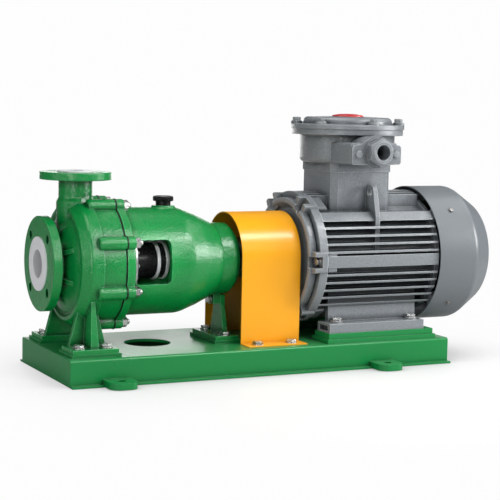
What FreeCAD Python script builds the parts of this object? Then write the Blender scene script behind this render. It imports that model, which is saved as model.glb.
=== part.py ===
import FreeCAD, Part
import math
import os

# A lined centrifugal pump, its coupling guard and its flameproof motor on one base frame.
# X runs along the shafts from the suction flange to the motor, Z is up, sizes are in millimetres.
# The origin is on the floor, in the middle of the four anchor bolt holes.

V = FreeCAD.Vector

# Base frame
anchor_spacing_x = 580.0
anchor_spacing_y = 344.0
anchor_hole_radius = 8.5
base_left_reach = 92.0
base_length = 834.0
base_width = 295.0
base_height = 52.0
base_sheet = 6.0
base_edge_radius = 5.0
lip_width = 13.0
lip_thickness = 4.0
anchor_lug_length = 56.0
anchor_lug_reach = 52.0
anchor_lug_thickness = 13.0
anchor_lug_corner = 20.0
grout_hole_radius = 47.0
grout_hole_from_left = 213.0
pump_pad_height = 6.0
pad_margin = 4.0
motor_pad_lower = 9.0
motor_pad_upper = 11.0

# Pump centre lines and flanges
pump_shaft_height = 160.0
discharge_height = 180.0
suction_length = 76.0
suction_overhang = 17.5
shaft_length_behind = 385.0
face_proud = 2.5
face_recess = 3.0
suction_flange_radius = 92.5
suction_flange_thickness = 18.0
suction_bolt_radius = 72.5
suction_face_radius = 52.5
suction_bore = 27.5
discharge_flange_radius = 70.0
discharge_flange_thickness = 15.0
discharge_bolt_radius = 50.0
discharge_face_radius = 35.5
discharge_bore = 16.0
discharge_neck_radius = 33.0
discharge_flare = 4.0
flange_hole_radius = 9.0
flange_hole_count = 4

# Pump casing, lining and impeller
suction_neck_radius = 62.0
suction_neck_length = 12.0
cone_length = 23.0
barrel_radius = 121.0
cone_radius = barrel_radius - 21.0
rim_front_radius = barrel_radius - 16.0
rim_back_radius = barrel_radius - 9.0
rim_proud = 5.0
bulge_radius = barrel_radius + 3.0
bulge_end = 16.0
casing_rear = 61.0
chamber_radius = barrel_radius - 18.0
chamber_corner = 6.0
throat_step = 50.0
passage_dip = 5.0
liner_wall = 6.0
casing_cone_wall = 9.0
eye_radius = 38.0
rim_rib_count = 8
rim_rib_thickness = 8.0
rim_rib_rise = 6.0
rim_rib_reach = 84.0
cover_front = 36.0
cover_rim_step = 5.0
cover_rim_length = 10.0
fit_gap = 0.3
impeller_radius = chamber_radius - 11.0
impeller_gap = 4.0
vane_count = 6
vane_thickness = 4.0
shroud_thickness = 5.0
eye_lip = 6.0
impeller_hub_radius = 26.0
insert_radius = 16.0

# Casing studs, gasket and bracket flange
stud_count = 8
stud_circle = barrel_radius + 2.0
stud_radius = 6.0
stud_hole_radius = 6.5
stud_depth = 38.0
stud_proud = 16.0
nut_height = 10.0
nut_across = 19.0
stud_boss_radius = 13.0
stud_boss_length = 55.0
gasket_thickness = 2.5
bracket_flange_thickness = 16.5
bracket_flange_radius = barrel_radius + 3.0

# Casing feet
foot_plate_length = 92.0
foot_plate_thickness = 8.0
foot_inner_y = 60.0
foot_outer_y = 126.0
foot_bolt_spacing = 54.0
foot_bolt_y = 105.0
foot_bolt_radius = 6.0
foot_web_y = 66.0
foot_web_thickness = 10.0
foot_web_top = 40.0
foot_web_foot = 78.0
foot_rib_top_half = 3.5
foot_rib_foot_half = 8.5
foot_rib_drop = 62.0
foot_rib_inset = 8.0
foot_rib_heel = 4.0
foot_web_drop = 60.0
foot_web_knee = 88.0
bolt_clearance = 0.8

# Bearing bracket
bracket_radius = barrel_radius - 14.0
bracket_wall = 9.0
bracket_barrel_end = shaft_length_behind - 178.0
bracket_shoulder = shaft_length_behind - 142.0
bracket_shoulder_radius = bracket_radius - 13.0
collar_start = shaft_length_behind - 100.0
collar_radius = 73.0
collar_end = shaft_length_behind - 66.5
lantern_end = 169.0
window_start = 86.5
window_end = 161.5
window_top = 50.0
window_bottom = -36.0
window_corner = 9.0
bearing_radius = 36.0
bearing_bore = 15.0
bearing_width = 19.0
inboard_bearing_at = 200.0
outboard_bearing_at = shaft_length_behind - 92.0
bearing_race = 6.0
ball_count = 8
ball_radius = 5.4
end_cover_radius = 66.0
end_cover_thickness = 8.0
end_cover_bolt_circle = 52.0
end_cover_bolts = 4
end_cover_bolt_radius = 4.0
end_cover_first = 45.0
filler_from_discharge = 184.5
filler_boss_radius = 24.0
filler_boss_top = bracket_radius + 3.0
filler_hole_radius = 9.0
filler_neck_radius = 15.0
filler_cap_radius = 20.5
filler_cap_height = 10.5
filler_neck_height = 8.0
running_gap = 0.05
oil_seal_radius = 24.0

# Shaft, sleeve and seal
nose_radius = 10.0
seal_shaft_radius = 14.0
sleeve_radius = 18.0
shaft_middle_radius = 19.0
shaft_end_radius = 12.0
cover_bore = 24.0
cover_hub_end = 94.5
gland_radius = 62.0
gland_thickness = 15.0
gland_screw_circle = 50.0
gland_screw_count = 12
gland_screw_turn = 5.0
gland_screw_radius = 3.0
seal_ring_radius = 32.0
seal_ring_length = 13.0
seal_body_radius = 36.0
seal_body_end = 160.0
seal_clamp_radius = 38.5
seal_clamp_width = 6.5
seal_band_width = 12.0

# Support foot under the bearing bracket
support_at = shaft_length_behind - 77.5
support_plate_thickness = 10.0
support_top_half = 16.0
support_foot_half = 34.0
support_pad_half = 58.0
support_pad_front = 28.0
support_pad_length = 50.0
support_bolt_y = 46.0
support_boss_depth = 16.0
support_boss_drop = 18.0
support_bolt_drop = 10.0
support_bolt_radius = 5.0

# Coupling and guard
coupling_radius = 42.0
coupling_jaw_inner = 24.0
coupling_hub_length = 36.0
jaw_length = 16.0
jaw_angle = 38.0
jaw_count = 3
spider_thickness = 20.0
shaft_gap = 4.0
guard_start = shaft_length_behind - 64.0
guard_length = 131.0
guard_radius = 88.0
guard_rise = 7.0
guard_sheet = 2.0
guard_foot_y = 126.0
guard_bolt_y = 107.0
guard_bolt_inset = 28.0

# Motor
motor_shaft_radius = 19.0
motor_shaft_reach = 80.0
motor_core_shaft_radius = 24.0
motor_fan_shaft_radius = 15.0
shield_length = 21.0
shield_rim_radius = 123.0
shield_rim_inner = 113.0
shield_rim_reach = 14.5
shield_dish = 4.0
shield_groove = 2.5
shield_flange_radius = 136.0
shield_flange_thickness = 18.0
shield_hub_radius = 47.0
ear_count = 6
ear_first = 30.0
ear_circle = 118.5
ear_half = 21.5
ear_inner = 104.0
ear_outer = 139.0
ear_reach = 9.5
ear_back = 2.5
ear_bolt_radius = 5.0
ear_pocket_radius = 11.5
ear_seat = 7.0
ear_block_gap = 2.5
ear_block_length = 18.5
frame_length = 264.0
frame_radius = 112.0
frame_bore = 98.0
fin_tip_radius = 136.0
fin_thickness = 4.5
fin_pitch = 16.0
fin_first_above = 19.0
fin_first_below = 27.5
fin_rows = 4
bar_half_height = 12.0
shelf_bottom = 80.0
shelf_top = 97.0
top_fin_pitch = 14.0
stator_bore = 70.5
rotor_radius = 70.0
core_length = 140.0
core_inset = 56.0
end_turn_length = 26.0
motor_bearing_radius = 45.0
motor_bearing_bore = 20.0
motor_bearing_width = 23.0
motor_bearing_inset = 17.0
motor_foot_lead = 10.0
motor_foot_length = 224.0
motor_foot_thickness = 19.0
motor_foot_pocket = 12.0
motor_foot_web = 13.0
motor_foot_bolt_shift = 4.5
motor_foot_inner = 80.0
motor_foot_outer = 132.0
motor_foot_bolt_spacing = 178.0
motor_foot_bolt_y = 108.0
motor_foot_bolt_radius = 6.0
motor_bolt_boss = 14.0
motor_bolt_boss_rise = 2.0
cowl_radius = 144.0
cowl_sheet = 2.0
cowl_straight = 93.0
cowl_length = 145.0
cowl_end_radius = 111.0
cowl_screw_at = 46.0
cowl_screw_angle = 43.0
cowl_arm_half = 11.0
fan_radius = 112.0
fan_blades = 8
fan_start = 46.0
fan_width = 30.0
lug_plate_thickness = 10.0
lug_from_box = 13.0
lug_reach_out = 44.0
lug_height = 153.5
lug_half = 17.0
lug_hole_radius = 9.0

# Terminal box
box_from_frame = 113.0
neck_half = 70.0
neck_chamfer = 12.0
neck_wall = 10.0
neck_top = 178.0
box_block_half = 72.0
bowl_bottom = 195.0
bowl_corner = 12.0
box_radius = 100.0
box_wall = 9.0
box_flange_bottom = 254.0
box_flange_radius = box_radius + 17.0
box_flange_thickness = 12.0
lid_flange_radius = box_radius + 19.5
lid_flange_thickness = 10.0
lid_dome_radius = box_radius - 6.0
lid_dome_height = 16.0
lid_dome_corner = 10.5
lid_crown = 2.0
lid_disc_radius = 33.0
lid_disc_thickness = 5.5
lid_boss_radius = 12.5
lid_boss_height = 4.0
lid_bolt_radius = 4.0
lid_bolt_across = 15.0
lid_bolt_head = 9.0
lid_bolt_count = 6
lid_bolt_circle = box_radius + 7.0
duct_offset = -21.0
duct_half = 54.0
duct_reach = 148.0
duct_bottom = 197.0
duct_height = 44.0
duct_bore = 17.0
gland_rise = 4.0
gland_plate_thickness = 11.0
gland_plate_half = 57.0
gland_ear_half = 21.0
gland_arch_radius = 33.0
gland_hex_across = 50.0
gland_hex_length = 24.0
gland_collar_radius = 29.0
gland_collar_length = 4.0
gland_mouth_radius = 22.0
gland_mouth_length = 2.5
cable_bore = 15.5
gland_bolt_spacing = 87.0
gland_bolt_radius = 4.0

# Places that follow from the sizes above
base_left = -anchor_spacing_x / 2 - base_left_reach
base_right = base_left + base_length
shaft_z = base_height + pump_pad_height + pump_shaft_height
suction_x = base_left - suction_overhang
discharge_x = suction_x + suction_length
pump_shaft_end = discharge_x + shaft_length_behind
motor_shaft_end = pump_shaft_end + shaft_gap
motor_face = motor_shaft_end + motor_shaft_reach
frame_start = motor_face + shield_length
frame_end = frame_start + frame_length
casing_back = discharge_x + casing_rear
bracket_face = casing_back + gasket_thickness
liner_back = discharge_x + cover_front
iron_chamber = chamber_radius + liner_wall
passage_start = shaft_z + chamber_radius - passage_dip
cover_back = discharge_x + cover_hub_end
motor_foot_z = base_height + motor_pad_lower + motor_pad_upper
box_x = frame_start + box_from_frame


def axis_point(x):
    """Point of the shaft axis."""
    return V(x, 0, shaft_z)


def outline(points, place):
    """Flat face through (u, v) or (u, v, radius) points, where a radius rounds that corner."""
    corners = [V(p[0], p[1], 0) for p in points]
    radii = [p[2] if len(p) > 2 else 0.0 for p in points]
    runs = []
    for index, here in enumerate(corners):
        before = (corners[index - 1] - here).normalize()
        after = (corners[(index + 1) % len(corners)] - here).normalize()
        radius = radii[index]
        if radius == 0.0:
            runs.append((here, None, here))
            continue
        half = before.getAngle(after) / 2
        reach = radius / math.tan(half)
        towards = (before + after).normalize()
        middle = here + towards * (radius / math.sin(half) - radius)
        runs.append((here + before * reach, middle, here + after * reach))
    edges = []
    for index, (start, middle, end) in enumerate(runs):
        last = runs[index - 1][2]
        if (start - last).Length > 1e-6:
            edges.append(Part.LineSegment(place(last), place(start)).toShape())
        if middle is not None:
            edges.append(Part.Arc(place(start), place(middle), place(end)).toShape())
    return Part.Face(Part.Wire(edges))


def turned(points):
    """Solid of revolution about the shaft axis from (x, radius) points."""
    face = outline(points, lambda p: V(p.x, 0, shaft_z + p.y))
    return face.revolve(axis_point(0), V(1, 0, 0), 360)


def turned_up(points, x, y):
    """Solid of revolution about a vertical line from (radius, z) points."""
    face = outline(points, lambda p: V(x + p.x, y, p.y))
    return face.revolve(V(x, y, 0), V(0, 0, 1), 360)


def turned_across(points, x, z):
    """Solid of revolution about a line along Y from (radius, y) points."""
    face = outline(points, lambda p: V(x + p.x, p.y, z))
    return face.revolve(V(x, 0, z), V(0, 1, 0), 360)


def ring(inner, outer, start, end):
    """Tube about the shaft axis."""
    return turned([(start, inner), (start, outer), (end, outer), (end, inner)])


def disc(radius, start, end):
    """Cylinder about the shaft axis."""
    return rod(radius, axis_point(start), axis_point(end))


def rod(radius, start, end):
    """Cylinder between two points."""
    return Part.makeCylinder(radius, (end - start).Length, start, end - start)


def block(x0, x1, y0, y1, z0, z1):
    """Box between its lowest and highest corners."""
    return Part.makeBox(x1 - x0, y1 - y0, z1 - z0, V(x0, y0, z0))


def plate_up(points, z0, z1):
    """Plate with an (x, y) outline between two heights."""
    return outline(points, lambda p: V(p.x, p.y, z0)).extrude(V(0, 0, z1 - z0))


def plate_along(points, x0, x1):
    """Plate with a (y, z) outline between two places along X."""
    return outline(points, lambda p: V(x0, p.x, p.y)).extrude(V(x1 - x0, 0, 0))


def plate_across(points, y0, y1):
    """Plate with an (x, z) outline between two places along Y."""
    return outline(points, lambda p: V(p.x, y0, p.y)).extrude(V(0, y1 - y0, 0))


def join(shapes):
    """One solid from overlapping or touching shapes."""
    return shapes[0].multiFuse(shapes[1:]).removeSplitter()


def cut(shape, tools):
    """Shape with the tools taken away."""
    return shape.cut(Part.makeCompound(tools))


def turned_copy(shape, angle):
    """Copy of a shape, turned about the shaft axis."""
    copy = shape.copy()
    copy.rotate(axis_point(0), V(1, 0, 0), angle)
    return copy


def around(shape, count, first=0.0):
    """Copies of a shape spaced evenly about the shaft axis."""
    return [turned_copy(shape, first + 360.0 * index / count) for index in range(count)]


def mirrored(shape):
    """Copy of a shape on the other side of the XZ plane."""
    return shape.mirror(V(0, 0, 0), V(0, 1, 0))


def hexagon(across, height, seat, direction):
    """Hexagonal prism that stands on a seat."""
    corner = across / math.sqrt(3.0)
    turns = [math.radians(60.0 * index) for index in range(7)]
    points = [V(corner * math.cos(turn), corner * math.sin(turn), 0) for turn in turns]
    prism = Part.Face(Part.makePolygon(points)).extrude(V(0, 0, height))
    prism.Placement = FreeCAD.Placement(seat, FreeCAD.Rotation(V(0, 0, 1), direction))
    return prism


def bolt(seat, direction, radius, length, across=0.0, head=0.0):
    """Hexagon head bolt: the head stands on the seat and the shank goes the other way."""
    across = across or 3.1 * radius
    head = head or 1.3 * radius
    shank = rod(radius, seat - direction * length, seat)
    return hexagon(across, head, seat, direction).fuse(shank).removeSplitter()


def group(shapes):
    """Separate solids kept in one node."""
    return Part.makeCompound(shapes)


def pump_foot_places():
    """Bolt centres on the four corners of the two casing feet."""
    half = foot_bolt_spacing / 2
    return [(discharge_x + side * half, way * foot_bolt_y) for side in (-1, 1) for way in (-1, 1)]


def support_foot_places():
    """Bolt centres of the support foot."""
    return [(support_x() + support_pad_length / 2 - support_pad_front, way * support_bolt_y)
            for way in (-1, 1)]


def support_x():
    """Front face of the support foot's upright."""
    return discharge_x + support_at


def guard_places():
    """Bolt centres on the guard's two flanges."""
    start = discharge_x + guard_start
    ends = (start + guard_bolt_inset, start + guard_length - guard_bolt_inset)
    return [(x, way * guard_bolt_y) for x in ends for way in (-1, 1)]


def motor_foot_start():
    """Front end of the motor feet."""
    return frame_start + motor_foot_lead


def motor_foot_places():
    """Bolt centres of the motor feet."""
    middle = motor_foot_start() + motor_foot_length / 2 + motor_foot_bolt_shift
    half = motor_foot_bolt_spacing / 2
    return [(middle + side * half, way * motor_foot_bolt_y) for side in (-1, 1) for way in (-1, 1)]


def base_frame():
    """Folded base frame with welded pads, anchor lugs and a grout hole."""
    half = base_width / 2
    skin = plate_along([(-half, 0), (-half, base_height, base_edge_radius),
                        (half, base_height, base_edge_radius), (half, 0)], base_left, base_right)
    hollow = block(base_left + base_sheet, base_right - base_sheet, base_sheet - half,
                   half - base_sheet, 0, base_height - base_sheet)
    parts = [skin.cut(hollow)]
    for way in (-1, 1):
        inner, outer = sorted((way * (half - 1.0), way * (half + lip_width)))
        parts.append(block(base_left, base_right, inner, outer, 0, lip_thickness))
        for end in (-1, 1):
            x = end * anchor_spacing_x / 2
            edge = way * (half + anchor_lug_reach)
            parts.append(plate_up([(x - anchor_lug_length / 2, way * (half - 1.0)),
                                   (x - anchor_lug_length / 2, edge, anchor_lug_corner),
                                   (x + anchor_lug_length / 2, edge, anchor_lug_corner),
                                   (x + anchor_lug_length / 2, way * (half - 1.0))], 0, anchor_lug_thickness))
        parts.append(pump_pad(way))
        parts += motor_pads(way)
    parts.append(block(support_x() - support_pad_front - pad_margin,
                       support_x() + support_pad_length - support_pad_front + pad_margin,
                       -support_pad_half - pad_margin, support_pad_half + pad_margin,
                       base_height, base_height + pump_pad_height))
    return cut(join(parts), base_holes())


def pump_pad(way):
    """Pad under one casing foot."""
    inner, outer = sorted((way * (foot_inner_y - pad_margin), way * (foot_outer_y + pad_margin)))
    half = foot_plate_length / 2 + pad_margin
    return block(discharge_x - half, discharge_x + half, inner, outer,
                 base_height, base_height + pump_pad_height)


def motor_pads(way):
    """Two-layer rail under one motor foot."""
    start = motor_foot_start()
    layers = []
    step = base_height
    for margin, height in ((pad_margin * 2, motor_pad_lower), (pad_margin, motor_pad_upper)):
        inner, outer = sorted((way * (motor_foot_inner - margin), way * (motor_foot_outer + margin)))
        layers.append(block(start - margin, start + motor_foot_length + pad_margin * 4 + margin,
                            inner, outer, step, step + height))
        step += height
    return layers


def base_holes():
    """Anchor holes, grout hole and threaded holes of the base frame."""
    grout_x = base_left + grout_hole_from_left
    tools = [rod(grout_hole_radius, V(grout_x, 0, 0), V(grout_x, 0, base_height * 2))]
    for end in (-1, 1):
        for way in (-1, 1):
            x, y = end * anchor_spacing_x / 2, way * anchor_spacing_y / 2
            tools.append(rod(anchor_hole_radius, V(x, y, -1), V(x, y, anchor_lug_thickness + 1)))
    below = base_height - base_sheet * 2
    for radius, places in ((foot_bolt_radius, pump_foot_places() + support_foot_places()),
                           (foot_bolt_radius, guard_places()),
                           (motor_foot_bolt_radius, motor_foot_places())):
        tools += [rod(radius, V(x, y, below), V(x, y, shaft_z)) for x, y in places]
    return tools


def cone_x(radius, offset):
    """Place along X of the front cone at a radius, moved square to it by an offset."""
    slope = cone_length / (cone_radius - suction_neck_radius)
    start = discharge_x + neck_end() + slope * (radius - suction_neck_radius)
    return start + offset * math.hypot(1.0, slope)


def neck_end():
    """Back end of the suction neck, from the discharge centre."""
    return -suction_length + face_proud + suction_flange_thickness + suction_neck_length


def casing_outside():
    """Turned outside of the casing: flange, neck, front cone, bulge and barrel."""
    front = suction_x + face_proud
    flange_back = front + suction_flange_thickness
    rim_foot = cone_x(cone_radius, 0)
    return turned([(front, 0), (front, suction_flange_radius, 1.5),
                   (flange_back, suction_flange_radius, 1.5), (flange_back, suction_neck_radius, 3),
                   (discharge_x + neck_end(), suction_neck_radius, 3),
                   (rim_foot, cone_radius, 2), (rim_foot - rim_proud, rim_front_radius, 2.5),
                   (rim_foot - rim_proud + 1, rim_back_radius, 4),
                   (discharge_x - 8, bulge_radius, 10), (discharge_x + bulge_end, bulge_radius),
                   (discharge_x + bulge_end + 2, barrel_radius), (casing_back, barrel_radius),
                   (casing_back, 0)])


def casing_hollow(offset):
    """Turned hollow of the casing, and with an offset the outside of its lining."""
    bore = suction_bore + offset
    wall = casing_cone_wall + liner_wall - offset
    eye = eye_radius + offset
    chamber = chamber_radius + offset
    step = discharge_x - throat_step + (liner_wall - offset)
    return turned([(suction_x - 1, 0), (suction_x - 1, bore), (step, bore),
                   (step, eye), (cone_x(eye, wall), eye),
                   (cone_x(chamber, wall), chamber, chamber_corner + offset), (liner_back, chamber),
                   (liner_back, 0)])


def stud_boss():
    """Boss for one casing stud, at the top before it is turned to its place."""
    centre = shaft_z + stud_circle
    front = casing_back - stud_boss_length
    web = block(front + stud_boss_radius / 2, casing_back, -stud_boss_radius, stud_boss_radius,
                shaft_z + barrel_radius * 0.9, centre)
    return [nose_of_boss(front, centre), web]


def nose_of_boss(front, centre):
    """Round boss with a rounded front end."""
    face = outline([(front, 0), (front, stud_boss_radius, 4), (casing_back, stud_boss_radius),
                    (casing_back, 0)], lambda p: V(p.x, 0, centre + p.y))
    return face.revolve(V(0, 0, centre), V(1, 0, 0), 360)


def stud_angles():
    """Angles of the casing studs from the top."""
    return [360.0 / stud_count * (index + 0.5) for index in range(stud_count)]


def casing_feet():
    """Two feet of the casing, each a plate, an upright web and a rib."""
    plate_bottom = base_height + pump_pad_height
    plate_top = plate_bottom + foot_plate_thickness
    half = foot_plate_length / 2
    web_back = foot_web_y + foot_web_thickness
    plate = block(discharge_x - half, discharge_x + half, foot_inner_y, foot_outer_y,
                  plate_bottom, plate_top)
    web = plate_across([(discharge_x - foot_web_foot / 2, plate_bottom),
                        (discharge_x - foot_web_top / 2, shaft_z - foot_web_knee),
                        (discharge_x - foot_web_top / 2, shaft_z - foot_web_drop),
                        (discharge_x + foot_web_top / 2, shaft_z - foot_web_drop),
                        (discharge_x + foot_web_top / 2, shaft_z - foot_web_knee),
                        (discharge_x + foot_web_foot / 2, plate_bottom)], foot_web_y, web_back)
    rib_top = shaft_z - foot_rib_drop
    on_bulge = math.sqrt((bulge_radius - 1) ** 2 - foot_rib_drop ** 2)
    side = plate_along([(foot_web_y, plate_bottom), (foot_outer_y - foot_rib_inset, plate_bottom),
                        (foot_outer_y - foot_rib_inset, plate_top + foot_rib_heel), (on_bulge, rib_top),
                        (foot_web_y, rib_top)],
                       discharge_x - foot_rib_foot_half, discharge_x + foot_rib_foot_half)
    wedge = plate_across([(discharge_x - foot_rib_foot_half, plate_bottom),
                          (discharge_x - foot_rib_top_half, rib_top),
                          (discharge_x + foot_rib_top_half, rib_top),
                          (discharge_x + foot_rib_foot_half, plate_bottom)], foot_web_y, foot_outer_y)
    foot = join([plate, web, side.common(wedge)])
    return [foot, mirrored(foot)]


def discharge_neck():
    """Discharge neck with its flange and the flare that runs into the bulge."""
    top = shaft_z + discharge_height - face_proud
    under = top - discharge_flange_thickness
    blend = shaft_z + bulge_radius
    return turned_up([(0, shaft_z + suction_neck_radius),
                      (discharge_neck_radius + discharge_flare, shaft_z + suction_neck_radius),
                      (discharge_neck_radius + discharge_flare, blend - discharge_flare),
                      (discharge_neck_radius, blend + discharge_flare, 8),
                      (discharge_neck_radius, under, 3), (discharge_flange_radius, under, 1.5),
                      (discharge_flange_radius, top, 1.5), (0, top)], discharge_x, 0)


def discharge_hollow(radius):
    """Passage from the chamber to the discharge face."""
    return rod(radius, V(discharge_x, 0, passage_start), V(discharge_x, 0, shaft_z + discharge_height + 1))


def rim_ribs():
    """Radial ribs on the front cone behind the suction flange."""
    foot = discharge_x + neck_end()
    tip = rim_rib_reach
    face = outline([(foot, suction_neck_radius - 4), (foot - rim_rib_rise, suction_neck_radius - 4),
                    (foot - rim_rib_rise, suction_neck_radius + 4, 3), (cone_x(tip, 0), tip),
                    (cone_x(tip - 8, 0) + 6, tip - 8)],
                   lambda p: V(p.x, -rim_rib_thickness / 2, shaft_z + p.y))
    return around(face.extrude(V(0, rim_rib_thickness, 0)), rim_rib_count, 180.0 / rim_rib_count)


def flange_holes():
    """Bolt holes of the suction and discharge flanges."""
    front = suction_x
    back = front + face_proud + suction_flange_thickness + 1
    low = rod(flange_hole_radius, V(front, 0, shaft_z + suction_bolt_radius),
              V(back, 0, shaft_z + suction_bolt_radius))
    tools = around(low, flange_hole_count, 180.0 / flange_hole_count)
    top = shaft_z + discharge_height
    for index in range(flange_hole_count):
        turn = math.radians(360.0 * (index + 0.5) / flange_hole_count)
        x = discharge_x + discharge_bolt_radius * math.cos(turn)
        y = discharge_bolt_radius * math.sin(turn)
        tools.append(rod(flange_hole_radius, V(x, y, top - face_proud - discharge_flange_thickness - 1),
                         V(x, y, top)))
    return tools


def pump_casing():
    """Cast casing with flanges, stud bosses, ribs and feet, hollowed for its lining."""
    bosses = [turned_copy(piece, turn) for turn in stud_angles() for piece in stud_boss()]
    body = join([casing_outside(), discharge_neck()] + rim_ribs() + casing_feet() + bosses)
    front = suction_x + face_proud
    top = shaft_z + discharge_height - face_proud
    tools = [casing_hollow(liner_wall), discharge_hollow(discharge_bore + liner_wall),
             disc(iron_chamber, liner_back - 1, casing_back + 1),
             disc(iron_chamber + cover_rim_step, casing_back - cover_rim_length, casing_back + 1),
             disc(suction_face_radius, front - 1, front + face_recess),
             rod(discharge_face_radius, V(discharge_x, 0, top - face_recess), V(discharge_x, 0, top + 1))]
    stud_hole = rod(stud_radius, V(casing_back - stud_depth, 0, shaft_z + stud_circle),
                    V(casing_back + 1, 0, shaft_z + stud_circle))
    tools += [turned_copy(stud_hole, turn) for turn in stud_angles()]
    tools += [rod(foot_bolt_radius + bolt_clearance, V(x, y, base_height), V(x, y, shaft_z - 100))
              for x, y in pump_foot_places()]
    return cut(body, tools + flange_holes())


def casing_liner():
    """Fluoroplastic lining of the casing, flared over both flange faces."""
    front = suction_x + face_proud
    top = shaft_z + discharge_height
    tube = rod(discharge_bore + liner_wall, V(discharge_x, 0, passage_start), V(discharge_x, 0, top))
    hollow = casing_hollow(liner_wall)
    skin = hollow.cut(block(suction_x - 2, front, -200, 200, shaft_z - 200, shaft_z + 200))
    faces = [disc(suction_face_radius, suction_x, front + face_recess),
             rod(discharge_face_radius, V(discharge_x, 0, top - face_proud - face_recess),
                 V(discharge_x, 0, top))]
    body = join([skin, tube] + faces)
    return cut(body, [casing_hollow(0), discharge_hollow(discharge_bore),
                      disc(chamber_radius, liner_back - 1, liner_back + 1)])


def lobed_plate(radius, lobe, start, end):
    """Round plate with a lobe round each casing stud."""
    lobes = [rod(lobe, V(start, 0, shaft_z + stud_circle), V(end, 0, shaft_z + stud_circle))]
    return join([disc(radius, start, end)] + [turned_copy(lobes[0], turn) for turn in stud_angles()])


def stud_holes(start, end):
    """Clearance holes for the casing studs."""
    hole = rod(stud_hole_radius, V(start, 0, shaft_z + stud_circle), V(end, 0, shaft_z + stud_circle))
    return [turned_copy(hole, turn) for turn in stud_angles()]


def casing_gasket():
    """Flat gasket between the casing and the bracket, with a lobe round each stud."""
    plate = lobed_plate(barrel_radius + 1, stud_boss_radius + 1, casing_back, bracket_face)
    tools = stud_holes(casing_back - 1, bracket_face + 1)
    return cut(plate, tools + [disc(iron_chamber + cover_rim_step, casing_back - 1, bracket_face + 1)])


def rear_cover():
    """Cover that closes the casing behind the impeller and carries the seal."""
    rim = iron_chamber + cover_rim_step - fit_gap
    hub = bracket_radius - bracket_wall - fit_gap
    front = liner_back + liner_wall
    return turned([(front, cover_bore), (front, iron_chamber - fit_gap),
                   (casing_back - cover_rim_length, iron_chamber - fit_gap),
                   (casing_back - cover_rim_length, rim), (bracket_face, rim),
                   (bracket_face, hub), (cover_back, hub, 1.5), (cover_back, cover_bore)]).cut(
        Part.makeCompound(around(gland_screw_shank(cover_back - 14, cover_back + 1),
                                 gland_screw_count, gland_screw_turn)))


def gland_screw_shank(start, end):
    """Shank of one gland screw at the top."""
    centre = shaft_z + gland_screw_circle
    return rod(gland_screw_radius, V(start, 0, centre), V(end, 0, centre))


def rear_cover_liner():
    """Fluoroplastic face of the rear cover, with a sleeve through its bore and a seal seat."""
    front = liner_back
    back = liner_back + liner_wall
    inner = cover_bore - 4.0
    return turned([(front, inner), (front, iron_chamber - fit_gap), (back, iron_chamber - fit_gap),
                   (back, cover_bore), (cover_back, cover_bore), (cover_back, seal_ring_radius),
                   (cover_back + 4, seal_ring_radius), (cover_back + 4, inner)])


def seal_gland():
    """Ring that clamps the standing seal face to the rear cover."""
    holes = around(gland_screw_shank(cover_back - 1, cover_back + gland_thickness + 1),
                   gland_screw_count, gland_screw_turn)
    body = turned([(cover_back, seal_ring_radius), (cover_back, gland_radius),
                   (cover_back + gland_thickness, gland_radius, 2),
                   (cover_back + gland_thickness, seal_ring_radius)])
    return cut(body, holes)


def gland_screws():
    """Screws round the seal gland."""
    seat = V(cover_back + gland_thickness, 0, shaft_z + gland_screw_circle)
    screw = bolt(seat, V(1, 0, 0), gland_screw_radius, gland_thickness + 14, 9.0, 6.0)
    return group(around(screw, gland_screw_count, gland_screw_turn))


def seal_stationary_ring():
    """Standing ceramic ring of the shaft seal."""
    start = cover_back + 4
    return ring(cover_bore - 3, seal_ring_radius, start, start + seal_ring_length)


def seal_face_x():
    """Running face of the shaft seal."""
    return cover_back + 4 + seal_ring_length + running_gap * 2


def seal_rotary_body():
    """Turning bellows body of the shaft seal."""
    start = seal_face_x()
    end = discharge_x + seal_body_end
    return turned([(start, sleeve_radius), (start, seal_body_radius - 6, 1),
                   (start + 5, seal_body_radius - 6),
                   (start + 5, seal_body_radius, 1.5), (end, seal_body_radius, 1.5), (end, sleeve_radius)])


def seal_clamp_rings():
    """Two bright clamp rings behind the bellows."""
    first = discharge_x + seal_body_end
    second = first + seal_clamp_width + seal_band_width
    rings = []
    for start in (first, second):
        rings.append(turned([(start, sleeve_radius), (start, seal_clamp_radius, 1.2),
                             (start + seal_clamp_width, seal_clamp_radius, 1.2),
                             (start + seal_clamp_width, sleeve_radius)]))
    return group(rings)


def seal_drive_band():
    """Band between the two clamp rings."""
    start = discharge_x + seal_body_end + seal_clamp_width
    return ring(sleeve_radius, seal_clamp_radius - 3, start, start + seal_band_width)


def shaft_sleeve():
    """Sleeve that keeps the pumped liquid off the shaft."""
    return ring(seal_shaft_radius, sleeve_radius, impeller_back(), sleeve_end())


def sleeve_end():
    """Back end of the shaft sleeve, level with the second clamp ring."""
    return discharge_x + seal_body_end + 2 * seal_clamp_width + seal_band_width


def impeller_back():
    """Back end of the impeller hub."""
    return liner_back - 3.0


def vane_face():
    """Outline of one backward-curved vane in the YZ plane."""
    inner, outer = eye_radius - 4, impeller_radius
    sweep = math.radians(62.0)
    steps = (0.0, 0.5, 1.0)
    first = [(inner + (outer - inner) * t, sweep * t) for t in steps]
    thick = vane_thickness / inner
    front = [V(0, r * math.cos(a), shaft_z + r * math.sin(a)) for r, a in first]
    back = [V(0, r * math.cos(a + thick * inner / r), shaft_z + r * math.sin(a + thick * inner / r))
            for r, a in first]
    edges = [Part.Arc(front[0], front[1], front[2]).toShape(),
             Part.LineSegment(front[2], back[2]).toShape(),
             Part.Arc(back[2], back[1], back[0]).toShape(),
             Part.LineSegment(back[0], front[0]).toShape()]
    return Part.Face(Part.Wire(edges))


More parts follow.
